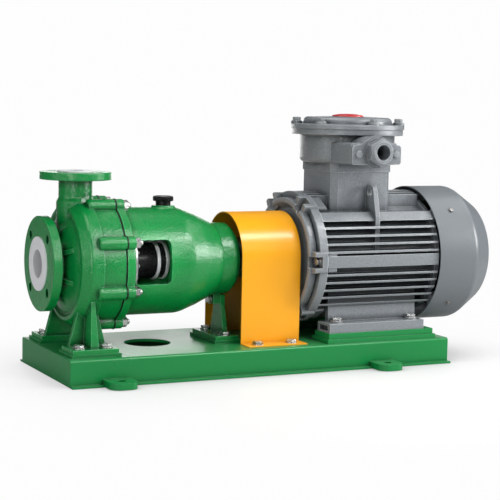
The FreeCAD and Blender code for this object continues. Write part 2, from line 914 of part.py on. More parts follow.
def impeller():
    """Closed impeller: eye ring, front shroud, curved vanes, back shroud and hub."""
    front_wall = casing_cone_wall + liner_wall + impeller_gap
    back = impeller_back()
    rear_face = back - 10.0
    shroud_back = rear_face - shroud_thickness - 1.0
    eye = eye_radius - 1.5
    lip = cone_x(eye, front_wall) - eye_lip
    inner_eye = eye - shroud_thickness
    solid = turned([(lip, 0), (lip, eye), (cone_x(eye, front_wall), eye),
                    (cone_x(impeller_radius, front_wall), impeller_radius),
                    (rear_face, impeller_radius), (rear_face, impeller_hub_radius),
                    (back, impeller_hub_radius), (back, 0)])
    water = turned([(lip - 1, 0), (lip - 1, inner_eye), (cone_x(inner_eye, front_wall + 5), inner_eye, 4),
                    (cone_x(impeller_radius + 1, front_wall + 5), impeller_radius + 1),
                    (shroud_back, impeller_radius + 1), (shroud_back, impeller_hub_radius + 6, 14),
                    (discharge_x - 8, impeller_hub_radius - 3, 10), (discharge_x - 20, 0)])
    vane = vane_face()
    vane.translate(V(lip, 0, 0))
    vanes = around(vane.extrude(V(rear_face - lip, 0, 0)), vane_count)
    fins = [blade.common(water.common(solid)) for blade in vanes]
    body = join([solid.cut(water)] + fins)
    return body.cut(disc(insert_radius, discharge_x - 6, back + 1))


def impeller_insert():
    """Metal core moulded into the impeller hub and screwed on the shaft."""
    return ring(nose_radius, insert_radius, discharge_x - 6, impeller_back())


def pump_shaft():
    """Stepped pump shaft."""
    inboard = discharge_x + inboard_bearing_at
    outboard = discharge_x + outboard_bearing_at
    seat = sleeve_end() + fit_gap
    shoulder = outboard + bearing_width
    back = impeller_back()
    shaft = turned([(discharge_x - 6, 0), (discharge_x - 6, nose_radius), (back, nose_radius),
                    (back, seal_shaft_radius), (seat, seal_shaft_radius), (seat, bearing_bore),
                    (inboard + bearing_width, bearing_bore),
                    (inboard + bearing_width, shaft_middle_radius), (outboard, shaft_middle_radius),
                    (outboard, bearing_bore), (shoulder, bearing_bore), (shoulder, seal_shaft_radius),
                    (shoulder + 20, seal_shaft_radius), (shoulder + 20, shaft_end_radius),
                    (pump_shaft_end, shaft_end_radius, 1), (pump_shaft_end, 0)])
    return shaft.cut(key_block(pump_shaft_end - 42, pump_shaft_end - 8, shaft_end_radius, 8.0, 4.0))


def key_block(start, end, radius, width, depth):
    """Space of a shaft key on top of a shaft."""
    return block(start, end, -width / 2, width / 2, shaft_z + radius - depth, shaft_z + radius + 3.0)


def bearing_rings(inner, outer, race, start, width):
    """Outer and inner ring of one deep-groove bearing, each with its ball groove."""
    middle = start + width / 2
    track = (inner + outer) / 2
    groove = Part.makeTorus(track, ball_radius + running_gap, axis_point(middle), V(1, 0, 0))
    outer_ring = ring(outer - race, outer, start, start + width).cut(groove)
    inner_ring = ring(inner, inner + race, start, start + width).cut(groove)
    return outer_ring, inner_ring


def pump_bearings():
    """Rings and balls of the two pump bearings, in three groups."""
    outers, inners, balls = [], [], []
    track = (bearing_bore + bearing_radius) / 2
    for offset in (inboard_bearing_at, outboard_bearing_at):
        start = discharge_x + offset
        outer_ring, inner_ring = bearing_rings(bearing_bore, bearing_radius, bearing_race, start,
                                               bearing_width)
        outers.append(outer_ring)
        inners.append(inner_ring)
        ball = Part.makeSphere(ball_radius, V(start + bearing_width / 2, 0, shaft_z + track))
        balls += around(ball, ball_count)
    return group(outers), group(inners), group(balls)


def bracket_outside():
    """Turned outside of the bearing bracket."""
    flange_back = bracket_face + bracket_flange_thickness
    at = discharge_x
    return turned([(bracket_face, 0), (bracket_face, bracket_flange_radius),
                   (flange_back, bracket_flange_radius, 4), (flange_back, bracket_radius, 3),
                   (at + bracket_barrel_end, bracket_radius, 60),
                   (at + bracket_shoulder, bracket_shoulder_radius, 60),
                   (at + collar_start, collar_radius + 2, 3), (at + collar_start + 2, collar_radius, 1),
                   (at + collar_end, collar_radius, 2), (at + collar_end, 0)])


def bracket_lobes():
    """Lobes of the bracket flange round the casing studs, with rounded backs."""
    flange_back = bracket_face + bracket_flange_thickness
    centre = shaft_z + stud_circle
    face = outline([(bracket_face, 0), (bracket_face, stud_boss_radius),
                    (flange_back, stud_boss_radius, 3), (flange_back, 0)],
                   lambda p: V(p.x, 0, centre + p.y))
    lobe = face.revolve(V(0, 0, centre), V(1, 0, 0), 360)
    return [turned_copy(lobe, turn) for turn in stud_angles()]


def bracket_hollows():
    """Seal space, bearing seats, oil chamber, windows and filler hole of the bracket."""
    at = discharge_x
    inner = bracket_radius - bracket_wall
    seat = bearing_radius
    lantern = turned([(bracket_face - 1, 0), (bracket_face - 1, inner), (at + lantern_end, inner, 3),
                      (at + lantern_end + 18, seat + 10, 6), (at + lantern_end + 18, 0)])
    chamber = turned([(at + inboard_bearing_at + 22, 0), (at + inboard_bearing_at + 22, seat + 14, 3),
                      (at + lantern_end + 25, seat + 14), (at + lantern_end + 8, inner - 1, 4),
                      (at + bracket_barrel_end - 4, inner - 1), (at + bracket_shoulder - 4, inner - 14),
                      (at + collar_start - 4, collar_radius - 10, 4), (at + collar_start - 4, 0)])
    tools = [lantern, chamber,
             disc(seat, at + inboard_bearing_at, at + inboard_bearing_at + 23),
             disc(seat, at + collar_start - 5, at + collar_end + 1),
             disc(bearing_bore + 4, at + lantern_end, at + inboard_bearing_at + 1),
             disc(oil_seal_radius, at + lantern_end, at + inboard_bearing_at - 4)]
    window = plate_across([(at + window_start, shaft_z + window_bottom, window_corner),
                           (at + window_start, shaft_z + window_top, window_corner),
                           (at + window_end, shaft_z + window_top, window_corner),
                           (at + window_end, shaft_z + window_bottom, window_corner)],
                          bracket_radius * 0.6, bracket_radius + 2)
    filler = at + filler_from_discharge
    tools += [window, mirrored(window),
              rod(filler_hole_radius, V(filler, 0, shaft_z + inner - 12),
                  V(filler, 0, shaft_z + filler_boss_top + 20))]
    return tools


def bearing_bracket():
    """Cast bracket between casing and coupling: lantern with two windows, oil chamber and collar."""
    filler = discharge_x + filler_from_discharge
    boss = turned_up([(0, shaft_z + bracket_radius - 8),
                      (filler_boss_radius + 8, shaft_z + bracket_radius - 8),
                      (filler_boss_radius, shaft_z + filler_boss_top - 3, 8),
                      (filler_boss_radius - 1, shaft_z + filler_boss_top), (0, shaft_z + filler_boss_top)],
                     filler, 0)
    low = shaft_z - collar_radius
    lug = block(support_x() - support_boss_depth, support_x(), -support_top_half, support_top_half,
                low - support_boss_drop, low + 8)
    body = join([bracket_outside(), boss, lug] + bracket_lobes())
    tools = bracket_hollows() + stud_holes(bracket_face - 1, bracket_face + bracket_flange_thickness + 1)
    tools.append(rod(support_bolt_radius, V(support_x() - support_boss_depth - 1, 0, low - support_bolt_drop),
                     V(support_x() + 1, 0, low - support_bolt_drop)))
    end = discharge_x + collar_end
    screw = rod(end_cover_bolt_radius, V(end - 12, 0, shaft_z + end_cover_bolt_circle),
                V(end + 1, 0, shaft_z + end_cover_bolt_circle))
    tools += around(screw, end_cover_bolts, end_cover_first)
    return cut(body, tools)


def bearing_end_cover():
    """Cover that holds the outboard bearing in the collar."""
    end = discharge_x + collar_end
    bearing_end = discharge_x + outboard_bearing_at + bearing_width
    body = turned([(end, oil_seal_radius + 4), (bearing_end, oil_seal_radius + 4),
                   (bearing_end, bearing_radius),
                   (end, bearing_radius), (end, end_cover_radius),
                   (end + end_cover_thickness, end_cover_radius, 2),
                   (end + end_cover_thickness, oil_seal_radius), (end, oil_seal_radius)])
    hole = rod(end_cover_bolt_radius, V(end - 1, 0, shaft_z + end_cover_bolt_circle),
               V(end + end_cover_thickness + 1, 0, shaft_z + end_cover_bolt_circle))
    return cut(body, around(hole, end_cover_bolts, end_cover_first))


def end_cover_screws():
    """Screws of the bearing end cover."""
    seat = V(discharge_x + collar_end + end_cover_thickness, 0, shaft_z + end_cover_bolt_circle)
    screw = bolt(seat, V(1, 0, 0), end_cover_bolt_radius, end_cover_thickness + 12)
    return group(around(screw, end_cover_bolts, end_cover_first))


def oil_seals():
    """Two lip rings that keep the oil in, one at each end of the oil chamber."""
    first = discharge_x + inboard_bearing_at - 12
    second = discharge_x + collar_end
    return group([ring(bearing_bore + running_gap, oil_seal_radius, first, first + 8),
                  ring(seal_shaft_radius + running_gap, oil_seal_radius, second,
                       second + end_cover_thickness)])


def bearing_locknut():
    """Slotted nut that holds the outboard bearing on the shaft."""
    start = discharge_x + outboard_bearing_at + bearing_width
    body = ring(seal_shaft_radius, oil_seal_radius - 2, start, start + 5)
    slot = block(start - 1, start + 6, -2.5, 2.5, shaft_z + oil_seal_radius - 5, shaft_z + oil_seal_radius)
    return cut(body, around(slot, 4))


def oil_filler_cap():
    """Push-in oil filler and vent cap."""
    x = discharge_x + filler_from_discharge
    seat = shaft_z + filler_boss_top + running_gap
    plug = filler_hole_radius - running_gap
    neck_top_z = seat + filler_neck_height
    return turned_up([(0, seat - 16), (plug, seat - 16), (plug, seat), (filler_neck_radius, seat),
                      (filler_neck_radius, neck_top_z), (filler_cap_radius - 2, neck_top_z),
                      (filler_cap_radius, neck_top_z + 2, 1),
                      (filler_cap_radius, neck_top_z + filler_cap_height, 2.5),
                      (0, neck_top_z + filler_cap_height)], x, 0)


def support_foot():
    """Upright foot under the collar, with a stiffening rib and a foot plate."""
    x = support_x()
    bottom = base_height + pump_pad_height
    low = shaft_z - collar_radius
    plate = block(x - support_pad_front, x - support_pad_front + support_pad_length,
                  -support_pad_half, support_pad_half, bottom, bottom + foot_plate_thickness)
    upright = plate_along([(-support_foot_half, bottom), (-support_top_half, low - 20, 10),
                           (-support_top_half, low - 1), (support_top_half, low - 1),
                           (support_top_half, low - 20, 10), (support_foot_half, bottom)],
                          x, x + support_plate_thickness)
    rib = plate_across([(x, bottom), (x + support_plate_thickness, low - 16),
                        (x + support_plate_thickness + 1, low - 40, 40), (x + 21, bottom)], -5, 5)
    body = join([plate, upright, rib])
    tools = [rod(foot_bolt_radius + bolt_clearance, V(px, py, base_height), V(px, py, bottom + 40))
             for px, py in support_foot_places()]
    tools.append(rod(support_bolt_radius, V(x - 1, 0, low - support_bolt_drop),
                     V(x + support_plate_thickness + 1, 0, low - support_bolt_drop)))
    return cut(body, tools)


def support_bolts():
    """Bolts of the support foot: two into the base and one into the collar's boss."""
    seat = base_height + pump_pad_height + foot_plate_thickness
    bolts = [bolt(V(x, y, seat), V(0, 0, 1), foot_bolt_radius, 20) for x, y in support_foot_places()]
    low = shaft_z - collar_radius
    head = V(support_x() - support_boss_depth, 0, low - support_bolt_drop)
    bolts.append(bolt(head, V(-1, 0, 0), support_bolt_radius, support_boss_depth + support_plate_thickness))
    return group(bolts)


def casing_studs():
    """Studs that hold the bracket to the casing."""
    end = bracket_face + bracket_flange_thickness + stud_proud
    stud = rod(stud_radius, V(casing_back - stud_depth, 0, shaft_z + stud_circle),
               V(end, 0, shaft_z + stud_circle))
    return group([turned_copy(stud, turn) for turn in stud_angles()])


def casing_nuts():
    """Nuts on the casing studs."""
    seat = V(bracket_face + bracket_flange_thickness, 0, shaft_z + stud_circle)
    nut = hexagon(nut_across, nut_height, seat, V(1, 0, 0))
    nut = nut.cut(rod(stud_radius, seat - V(1, 0, 0), seat + V(nut_height + 1, 0, 0)))
    return group([turned_copy(nut, turn) for turn in stud_angles()])


def pump_foot_bolts():
    """Bolts of the casing feet."""
    seat = base_height + pump_pad_height + foot_plate_thickness
    return group([bolt(V(x, y, seat), V(0, 0, 1), foot_bolt_radius, 20) for x, y in pump_foot_places()])


def jaw(start, end):
    """One coupling jaw, centred on the top of the hub."""
    half = math.radians(jaw_angle / 2)
    reach = coupling_radius * 1.2
    wedge = plate_along([(0, shaft_z), (-reach * math.tan(half), shaft_z + reach),
                         (reach * math.tan(half), shaft_z + reach)], start, end)
    return wedge.common(ring(coupling_jaw_inner, coupling_radius, start, end))


def coupling_middle():
    """Middle of the coupling along X."""
    return (pump_shaft_end + motor_shaft_end) / 2


def coupling_hub(way, shaft_radius, first_jaw, key_width):
    """Coupling hub with three jaws; way is 1 for the hub whose jaws point to the motor."""
    face = coupling_middle() - way * spider_thickness / 2
    back = face - way * coupling_hub_length
    start, end = sorted((back, face))
    body = turned([(start, shaft_radius), (start, coupling_radius, 2), (end, coupling_radius, 2),
                   (end, shaft_radius)])
    tip = face + way * jaw_length
    low, high = sorted((face - way * 2, tip))
    hub = join([body] + around(jaw(low, high), jaw_count, first_jaw))
    keyway = block(start - 1, end + 1, -key_width / 2, key_width / 2, shaft_z, shaft_z + shaft_radius + 3.0)
    bore = disc(shaft_radius, start - 1, end + 1)
    return cut(hub, [keyway, bore])


def coupling_spider():
    """Rubber star between the coupling jaws."""
    half = spider_thickness / 2 - fit_gap
    start, end = coupling_middle() - half, coupling_middle() + half
    leg_angle = 180.0 / jaw_count - jaw_angle - 1.2
    half_turn = math.radians(leg_angle / 2)
    reach = coupling_radius
    wedge = plate_along([(0, shaft_z), (-reach * math.tan(half_turn), shaft_z + reach),
                         (reach * math.tan(half_turn), shaft_z + reach)], start, end)
    leg = wedge.common(ring(coupling_jaw_inner - 2, coupling_radius - 1, start, end))
    core = ring(motor_shaft_radius + 1, coupling_jaw_inner - fit_gap, start, end)
    return join([core] + around(leg, jaw_count * 2, 90.0 / jaw_count))


def pump_key():
    """Key of the pump's coupling hub."""
    face = coupling_middle() - spider_thickness / 2
    return key_block(face - 30, face - 2, shaft_end_radius, 8.0, 4.0)


def motor_key():
    """Key of the motor's coupling hub."""
    face = coupling_middle() + spider_thickness / 2
    return key_block(face + 2, face + 34, motor_shaft_radius, 10.0, 5.0)


def coupling_guard():
    """Bent sheet guard over the coupling, with a flange along each foot."""
    start = discharge_x + guard_start
    end = start + guard_length
    centre = shaft_z + guard_rise
    body = join([rod(guard_radius, V(start, 0, centre), V(end, 0, centre)),
                 block(start, end, -guard_radius, guard_radius, base_height, centre)])
    inner = guard_radius - guard_sheet
    hollow = join([rod(inner, V(start - 1, 0, centre), V(end + 1, 0, centre)),
                   block(start - 1, end + 1, -inner, inner, base_height - 1, centre)])
    shell = body.cut(hollow)
    feet = [block(start, end, -guard_foot_y, -inner, base_height, base_height + guard_sheet)]
    feet.append(mirrored(feet[0]))
    holes = [rod(foot_bolt_radius + bolt_clearance, V(x, y, base_height - 1), V(x, y, base_height + 10))
             for x, y in guard_places()]
    return cut(join([shell] + feet), holes)


def guard_bolts():
    """Bolts of the guard flanges."""
    seat = base_height + guard_sheet
    return group([bolt(V(x, y, seat), V(0, 0, 1), foot_bolt_radius, guard_sheet + base_sheet)
                  for x, y in guard_places()])


def fin_heights():
    """Heights of the side fins about the shaft axis."""
    above = [fin_first_above + fin_pitch * index for index in range(fin_rows)]
    below = [-fin_first_below - fin_pitch * index for index in range(fin_rows + 1)]
    return above + below


def frame_fins():
    """Side fins, middle bars, top shelf and top fins, trimmed to the round of their tips."""
    reach = fin_tip_radius
    half = fin_thickness / 2
    bars = [block(frame_start, frame_end, -reach, reach, shaft_z + z - half, shaft_z + z + half)
            for z in fin_heights()]
    bars.append(block(frame_start, frame_end, -reach, reach, shaft_z - bar_half_height,
                      shaft_z + bar_half_height))
    bars.append(block(frame_start, frame_end, -reach, reach, shaft_z + shelf_bottom, shaft_z + shelf_top))
    for index in range(-3, 4):
        y = index * top_fin_pitch
        bars.append(block(frame_start, frame_end, y - half, y + half, shaft_z, shaft_z + reach))
    tips = disc(fin_tip_radius, frame_start, frame_end)
    return [bar.common(tips) for bar in bars]


def neck_outline(half, chamfer, x):
    """Square outline with cut corners about the terminal box centre."""
    inset = half - chamfer
    corners = [(-half, -inset), (-inset, -half), (inset, -half), (half, -inset),
               (half, inset), (inset, half), (-inset, half), (-half, inset)]
    return [(x + u, v) for u, v in corners]


def motor_foot(way):
    """One long foot of the motor with bolt bosses and the web up to the frame."""
    start = motor_foot_start()
    end = start + motor_foot_length
    top = motor_foot_z + motor_foot_thickness
    inner, outer = sorted((way * motor_foot_inner, way * motor_foot_outer))
    plate = block(start, end, inner, outer, motor_foot_z, top)
    pocket_inner, pocket_outer = sorted((way * (motor_foot_inner + 8), way * (motor_foot_outer - 10)))
    pocket = block(start - 1, start + motor_foot_pocket, pocket_inner, pocket_outer, motor_foot_z + 4,
                   top - 5)
    foot = motor_foot_inner + 2
    skirt = plate_along([(way * foot, motor_foot_z), (way * (foot + motor_foot_web), motor_foot_z),
                         (way * (foot + motor_foot_web), top + 12, 30),
                         (way * (foot + motor_foot_web - 5), shaft_z - 55), (way * foot, shaft_z - 55)],
                        start + motor_foot_pocket + 4, end)
    parts = [plate.cut(pocket), skirt]
    for x, y in motor_foot_places():
        if y * way > 0:
            parts.append(rod(motor_bolt_boss, V(x, y, motor_foot_z + 1), V(x, y, top + motor_bolt_boss_rise)))
    return parts


def lifting_lug(way):
    """Cast lifting lug beside the terminal box neck."""
    start = box_x + lug_from_box - lug_plate_thickness / 2
    end = start + lug_plate_thickness
    middle = way * (neck_half - 2 + lug_half)
    eye = shaft_z + lug_height - lug_half
    plate = plate_along([(way * (neck_half - 2), shaft_z + bar_half_height), (way * (neck_half - 2), eye),
                         (middle + way * lug_half, eye), (way * (neck_half + lug_reach_out), shelf_middle()),
                         (way * (neck_half + lug_reach_out), shaft_z + bar_half_height)], start, end)
    top = rod(lug_half, V(start, middle, eye), V(end, middle, eye))
    hole = rod(lug_hole_radius, V(start - 1, middle, eye), V(end + 1, middle, eye))
    return plate.fuse(top).cut(hole)


def shelf_middle():
    """Middle height of the shelf along the frame's shoulder."""
    return shaft_z + (shelf_bottom + shelf_top) / 2


def motor_frame():
    """Finned motor frame with feet, lifting lugs and the neck of the terminal box."""
    tube = disc(frame_radius, frame_start, frame_end)
    neck = plate_up(neck_outline(neck_half, neck_chamfer, box_x), shaft_z, shaft_z + neck_top)
    parts = [tube, neck] + frame_fins() + motor_foot(-1) + motor_foot(1)
    parts += [lifting_lug(-1), lifting_lug(1)]
    body = join(parts)
    channel = plate_up(neck_outline(neck_half - neck_wall, neck_chamfer, box_x), shaft_z + 90,
                       shaft_z + neck_top + 1)
    tools = [disc(frame_bore, frame_start - 1, frame_end + 1), channel]
    tools += [rod(motor_foot_bolt_radius + bolt_clearance, V(x, y, motor_foot_z - 1), V(x, y, shaft_z - 100))
              for x, y in motor_foot_places()]
    hole = rod(ear_bolt_radius, V(frame_start - 1, 0, shaft_z + ear_circle),
               V(frame_start + ear_block_gap + ear_block_length - 2, 0, shaft_z + ear_circle))
    tools += around(hole, ear_count, ear_first)
    return cut(join([body] + frame_ears()), tools)


def frame_ears():
    """Blocks on the frame behind the end shield ears, with a gap between."""
    start = frame_start + ear_block_gap
    return ear_plates(start, start + ear_block_length, ear_outer - 5)


def motor_foot_bolts():
    """Bolts of the motor feet."""
    seat = motor_foot_z + motor_foot_thickness + motor_bolt_boss_rise
    length = motor_foot_thickness + motor_bolt_boss_rise + motor_pad_upper + motor_pad_lower + base_sheet
    return group([bolt(V(x, y, seat), V(0, 0, 1), motor_foot_bolt_radius, length)
                  for x, y in motor_foot_places()])


def ear_plates(start, end, outer):
    """Square ears spaced evenly about the shaft axis."""
    ear = plate_along([(-ear_half, shaft_z + ear_inner), (-ear_half, shaft_z + outer, 4),
                       (ear_half, shaft_z + outer, 4), (ear_half, shaft_z + ear_inner)], start, end)
    return around(ear, ear_count, ear_first)


def drive_end_shield():
    """Drive end shield: dished face in a round rim, flange, bearing seat and six ears with open pockets."""
    face = motor_face
    front = face - shield_rim_reach
    floor = face + shield_dish
    back = frame_start
    flange = back - shield_flange_thickness
    seat = face + motor_bearing_inset
    spigot = frame_bore
    body = turned([(face, motor_shaft_radius + 1), (face, shield_hub_radius, 2),
                   (floor, shield_hub_radius + 10, 4), (floor, shield_rim_inner - 12, 8),
                   (front, shield_rim_inner, 3), (front, shield_rim_radius, 4),
                   (flange - shield_groove, shield_rim_radius),
                   (flange - shield_groove, shield_rim_radius - 4),
                   (flange, shield_rim_radius - 4), (flange, shield_flange_radius, 1.5),
                   (back, shield_flange_radius), (back, spigot), (back + 8, spigot), (back + 8, spigot - 9),
                   (seat + 6, spigot - 14), (seat + 6, motor_bearing_radius + 12),
                   (seat + 24, motor_bearing_radius + 8), (seat + 24, motor_bearing_radius),
                   (seat, motor_bearing_radius), (seat, motor_bearing_bore + 7),
                   (face + 12, motor_bearing_bore + 7), (face + 12, motor_shaft_radius + 1)])
    body = join([body] + ear_plates(face - ear_reach, back - ear_back, ear_outer))
    hole = rod(ear_bolt_radius, V(front, 0, shaft_z + ear_circle), V(back + 1, 0, shaft_z + ear_circle))
    pocket = join([rod(ear_pocket_radius, V(front - 1, 0, shaft_z + ear_circle),
                       V(face + ear_seat, 0, shaft_z + ear_circle)),
                   block(front - 1, face + ear_seat, -ear_pocket_radius, ear_pocket_radius,
                         shaft_z + ear_circle, shaft_z + ear_outer + 1)])
    return cut(body, around(hole, ear_count, ear_first) + around(pocket, ear_count, ear_first))


def end_shield_bolts():
    """Bolts of the drive end shield."""
    seat = V(motor_face + ear_seat, 0, shaft_z + ear_circle)
    length = shield_length - ear_seat + ear_block_gap + ear_block_length - 3
    screw = bolt(seat, V(-1, 0, 0), ear_bolt_radius, length, 16.0, 7.0)
    return group(around(screw, ear_count, ear_first))


def rear_end_shield():
    """Rear end shield with its bearing seat and the four arms that carry the cowl."""
    start = frame_end - 8
    back = frame_end + 12
    body = turned([(start, frame_bore - 9), (start, frame_bore), (frame_end, frame_bore),
                   (frame_end, fin_tip_radius - 14), (back, fin_tip_radius - 14, 3), (back, 60),
                   (back + 8, 54, 3), (back + 8, motor_shaft_radius + 2), (back + 3, motor_shaft_radius + 2),
                   (back + 3, motor_bearing_radius), (back + 3 - 24, motor_bearing_radius),
                   (back + 3 - 24, motor_bearing_radius + 9), (frame_end + 2, motor_bearing_radius + 12),
                   (frame_end + 2, frame_bore - 12)])
    inner = cowl_radius - cowl_sheet
    arm = block(back - 8, frame_end + cowl_screw_at + 9, -cowl_arm_half, cowl_arm_half,
                shaft_z + fin_tip_radius - 16, shaft_z + inner + 2)
    arm = arm.common(disc(inner, back - 9, frame_end + cowl_length))
    hole = rod(3.0, V(frame_end + cowl_screw_at, 0, shaft_z + inner - 14),
               V(frame_end + cowl_screw_at, 0, shaft_z + inner + 3))
    arm = arm.cut(hole)
    return join([body] + [turned_copy(arm, turn) for turn in cowl_screw_turns()])


def cowl_screw_turns():
    """Angles of the cowl screws from the top."""
    return [side + way * cowl_screw_angle for side in (90.0, 270.0) for way in (-1, 1)]


def cowl_screws():
    """Screws of the fan cowl."""
    seat = V(frame_end + cowl_screw_at, 0, shaft_z + cowl_radius)
    screw = bolt(seat, V(0, 0, 1), 3.0, 14, 9.0, 4.0)
    return group([turned_copy(screw, turn) for turn in cowl_screw_turns()])


def fan_cowl():
    """Fan cowl: a straight skirt, a cone and an end wall with a ring of air slots."""
    start = frame_end
    bend = start + cowl_straight
    end = start + cowl_length
    wall = cowl_sheet
    outer = [(start, cowl_radius - wall), (start, cowl_radius), (bend, cowl_radius, 20),
             (end, cowl_end_radius, 8), (end, 0)]
    inner = [(end - wall, 0), (end - wall, cowl_end_radius - 2, 6), (bend - 1, cowl_radius - wall, 18)]
    shell = turned(outer + inner)
    tools = []
    for row in range(3):
        low = 30.0 + 24.0 * row
        tools += around(grille_slot(low, low + 14.0, end), 8, 22.5 * (row % 2))
    hole = rod(3.0, V(start + cowl_screw_at, 0, shaft_z + cowl_radius - 10),
               V(start + cowl_screw_at, 0, shaft_z + cowl_radius + 5))
    tools += [turned_copy(hole, turn) for turn in cowl_screw_turns()]
    return cut(shell, tools)


def grille_slot(inner, outer, end):
    """Arc-shaped air slot through the cowl's end wall."""
    half = math.radians(16.0)
    reach = outer * 1.3
    wedge = plate_along([(0, shaft_z), (-reach * math.tan(half), shaft_z + reach),
                         (reach * math.tan(half), shaft_z + reach)], end - 10, end + 5)
    return wedge.common(ring(inner, outer, end - 10, end + 5))


def cooling_fan():
    """Radial fan with straight blades on a cupped disc."""
    start = frame_end + fan_start
    end = start + fan_width
    body = turned([(start, motor_fan_shaft_radius), (start, 30, 2), (start + 8, 34),
                   (start + 4, fan_radius - 20),
                   (start + 4, fan_radius), (start + 8, fan_radius), (start + 9, fan_radius - 20),
                   (start + 14, 36), (end - 4, 30, 2), (end - 4, motor_fan_shaft_radius)])
    blade = block(start + 6, end, -2, 2, shaft_z + 33, shaft_z + fan_radius)
    return join([body] + around(blade, fan_blades)).cut(disc(motor_fan_shaft_radius, start - 1, end + 1))


def motor_shaft():
    """Stepped motor shaft from the coupling to the fan."""
    seat = motor_face + motor_bearing_inset
    front = seat + motor_bearing_width
    back = frame_end + 15 - motor_bearing_width
    shaft = turned([(motor_shaft_end, 0), (motor_shaft_end, motor_shaft_radius, 1.5),
                    (motor_face + 14, motor_shaft_radius), (motor_face + 14, motor_bearing_bore),
                    (front, motor_bearing_bore), (front, motor_core_shaft_radius),
                    (back, motor_core_shaft_radius), (back, motor_bearing_bore),
                    (frame_end + 15, motor_bearing_bore), (frame_end + 15, motor_fan_shaft_radius),
                    (frame_end + fan_start + fan_width - 2, motor_fan_shaft_radius, 1),
                    (frame_end + fan_start + fan_width - 2, 0)])
    face = coupling_middle() + spider_thickness / 2
    return shaft.cut(key_block(face + 2, face + 34, motor_shaft_radius, 10.0, 5.0))


def motor_bearings():
    """Rings and balls of the two motor bearings, in three groups."""
    outers, inners, balls = [], [], []
    track = (motor_bearing_bore + motor_bearing_radius) / 2
    for start in (motor_face + motor_bearing_inset, frame_end + 15 - motor_bearing_width):
        outer_ring, inner_ring = bearing_rings(motor_bearing_bore, motor_bearing_radius, bearing_race + 2,
                                               start, motor_bearing_width)
        outers.append(outer_ring)
        inners.append(inner_ring)
        ball = Part.makeSphere(ball_radius, V(start + motor_bearing_width / 2, 0, shaft_z + track))
        balls += around(ball, ball_count)
    return group(outers), group(inners), group(balls)


def core_start():
    """Front end of the stator and rotor cores."""
    return frame_start + core_inset


def stator_core():
    """Laminated stator core in the frame's bore."""
    return ring(stator_bore, frame_bore, core_start(), core_start() + core_length)


def stator_windings():
    """End turns of the stator winding at both ends of the core."""
    start, end = core_start(), core_start() + core_length
    rings = []
    for face, way in ((start, -1), (end, 1)):
        tip = face + way * end_turn_length
        rings.append(turned([(face, stator_bore + 3), (face, frame_bore - 6), (tip, frame_bore - 9, 5),
                             (tip, stator_bore + 6, 5)]))
    return group(rings)


def rotor_core():
    """Rotor core with its two end rings."""
    start, end = core_start(), core_start() + core_length
    core = ring(motor_core_shaft_radius, rotor_radius, start, end)
    rings = [ring(rotor_radius - 22, rotor_radius - 3, start - 12, start + 1),
             ring(rotor_radius - 22, rotor_radius - 3, end - 1, end + 12)]
    return join([core] + rings)


def box_hollow():
    """Space of the terminal box: a square throat that opens into the round bowl."""
    bottom = shaft_z + neck_top
    floor = shaft_z + bowl_bottom + box_wall
    throat = plate_up(neck_outline(box_block_half - box_wall - 2, neck_chamfer, box_x), bottom - 1, floor + 1)
    bowl = turned_up([(0, floor), (box_radius - box_wall, floor, bowl_corner - 6),
                      (box_radius - box_wall, lid_bottom() + 1), (0, lid_bottom() + 1)], box_x, 0)
    return join([throat, bowl])


def terminal_box():
    """Terminal box: square block on the neck, round bowl, flange and the arched cable duct."""
    bottom = shaft_z + neck_top
    flange = shaft_z + box_flange_bottom
    top = flange + box_flange_thickness
    square = plate_up(neck_outline(box_block_half, neck_chamfer, box_x), bottom,
                      shaft_z + bowl_bottom + box_wall)
    bowl = turned_up([(0, shaft_z + bowl_bottom), (box_radius, shaft_z + bowl_bottom, bowl_corner),
                      (box_radius, flange, 3), (box_flange_radius, flange, 1.5), (box_flange_radius, top, 1),
                      (0, top)], box_x, 0)
    duct_x = box_x + duct_offset
    low = shaft_z + duct_bottom
    duct = plate_across([(duct_x - duct_half, low, 6), (duct_x - duct_half, low + duct_height, 6),
                         (duct_x + duct_half, low + duct_height, 6), (duct_x + duct_half, low, 6)],
                        -duct_reach, -box_radius * 0.5)
    arch = rod(gland_arch_radius - 2, V(duct_x, -duct_reach, gland_z()),
               V(duct_x, -box_radius * 0.6, gland_z()))
    body = join([square, bowl, duct, arch.cut(block(duct_x - duct_half, duct_x + duct_half, -duct_reach, 0,
                                                    flange, top + gland_arch_radius))])
    tools = [box_hollow(),
             rod(duct_bore, V(duct_x, -duct_reach - 1, gland_z()), V(duct_x, -box_radius * 0.6, gland_z()))]
    tools += [rod(lid_bolt_radius, V(x, y, flange - 1), V(x, y, top + 1)) for x, y in lid_bolt_places()]
    tools += [rod(gland_bolt_radius, V(x, -duct_reach - 1, duct_middle()),
                  V(x, -duct_reach + 18, duct_middle()))
              for x in gland_bolt_places()]
    return cut(body, tools)


def duct_middle():
    """Middle height of the cable duct."""
    return shaft_z + duct_bottom + duct_height / 2


def gland_z():
    """Height of the cable gland's axis."""
    return duct_middle() + gland_rise


def gland_bolt_places():
    """Places along X of the gland's two bolts."""
    middle = box_x + duct_offset
    return [middle - gland_bolt_spacing / 2, middle + gland_bolt_spacing / 2]


def lid_bolt_places():
    """Centres of the lid bolts."""
    turns = [math.radians(360.0 * (index + 0.5) / lid_bolt_count) for index in range(lid_bolt_count)]
    return [(box_x + lid_bolt_circle * math.cos(turn), lid_bolt_circle * math.sin(turn)) for turn in turns]


def lid_bottom():
    """Joint face of the terminal box lid."""
    return shaft_z + box_flange_bottom + box_flange_thickness


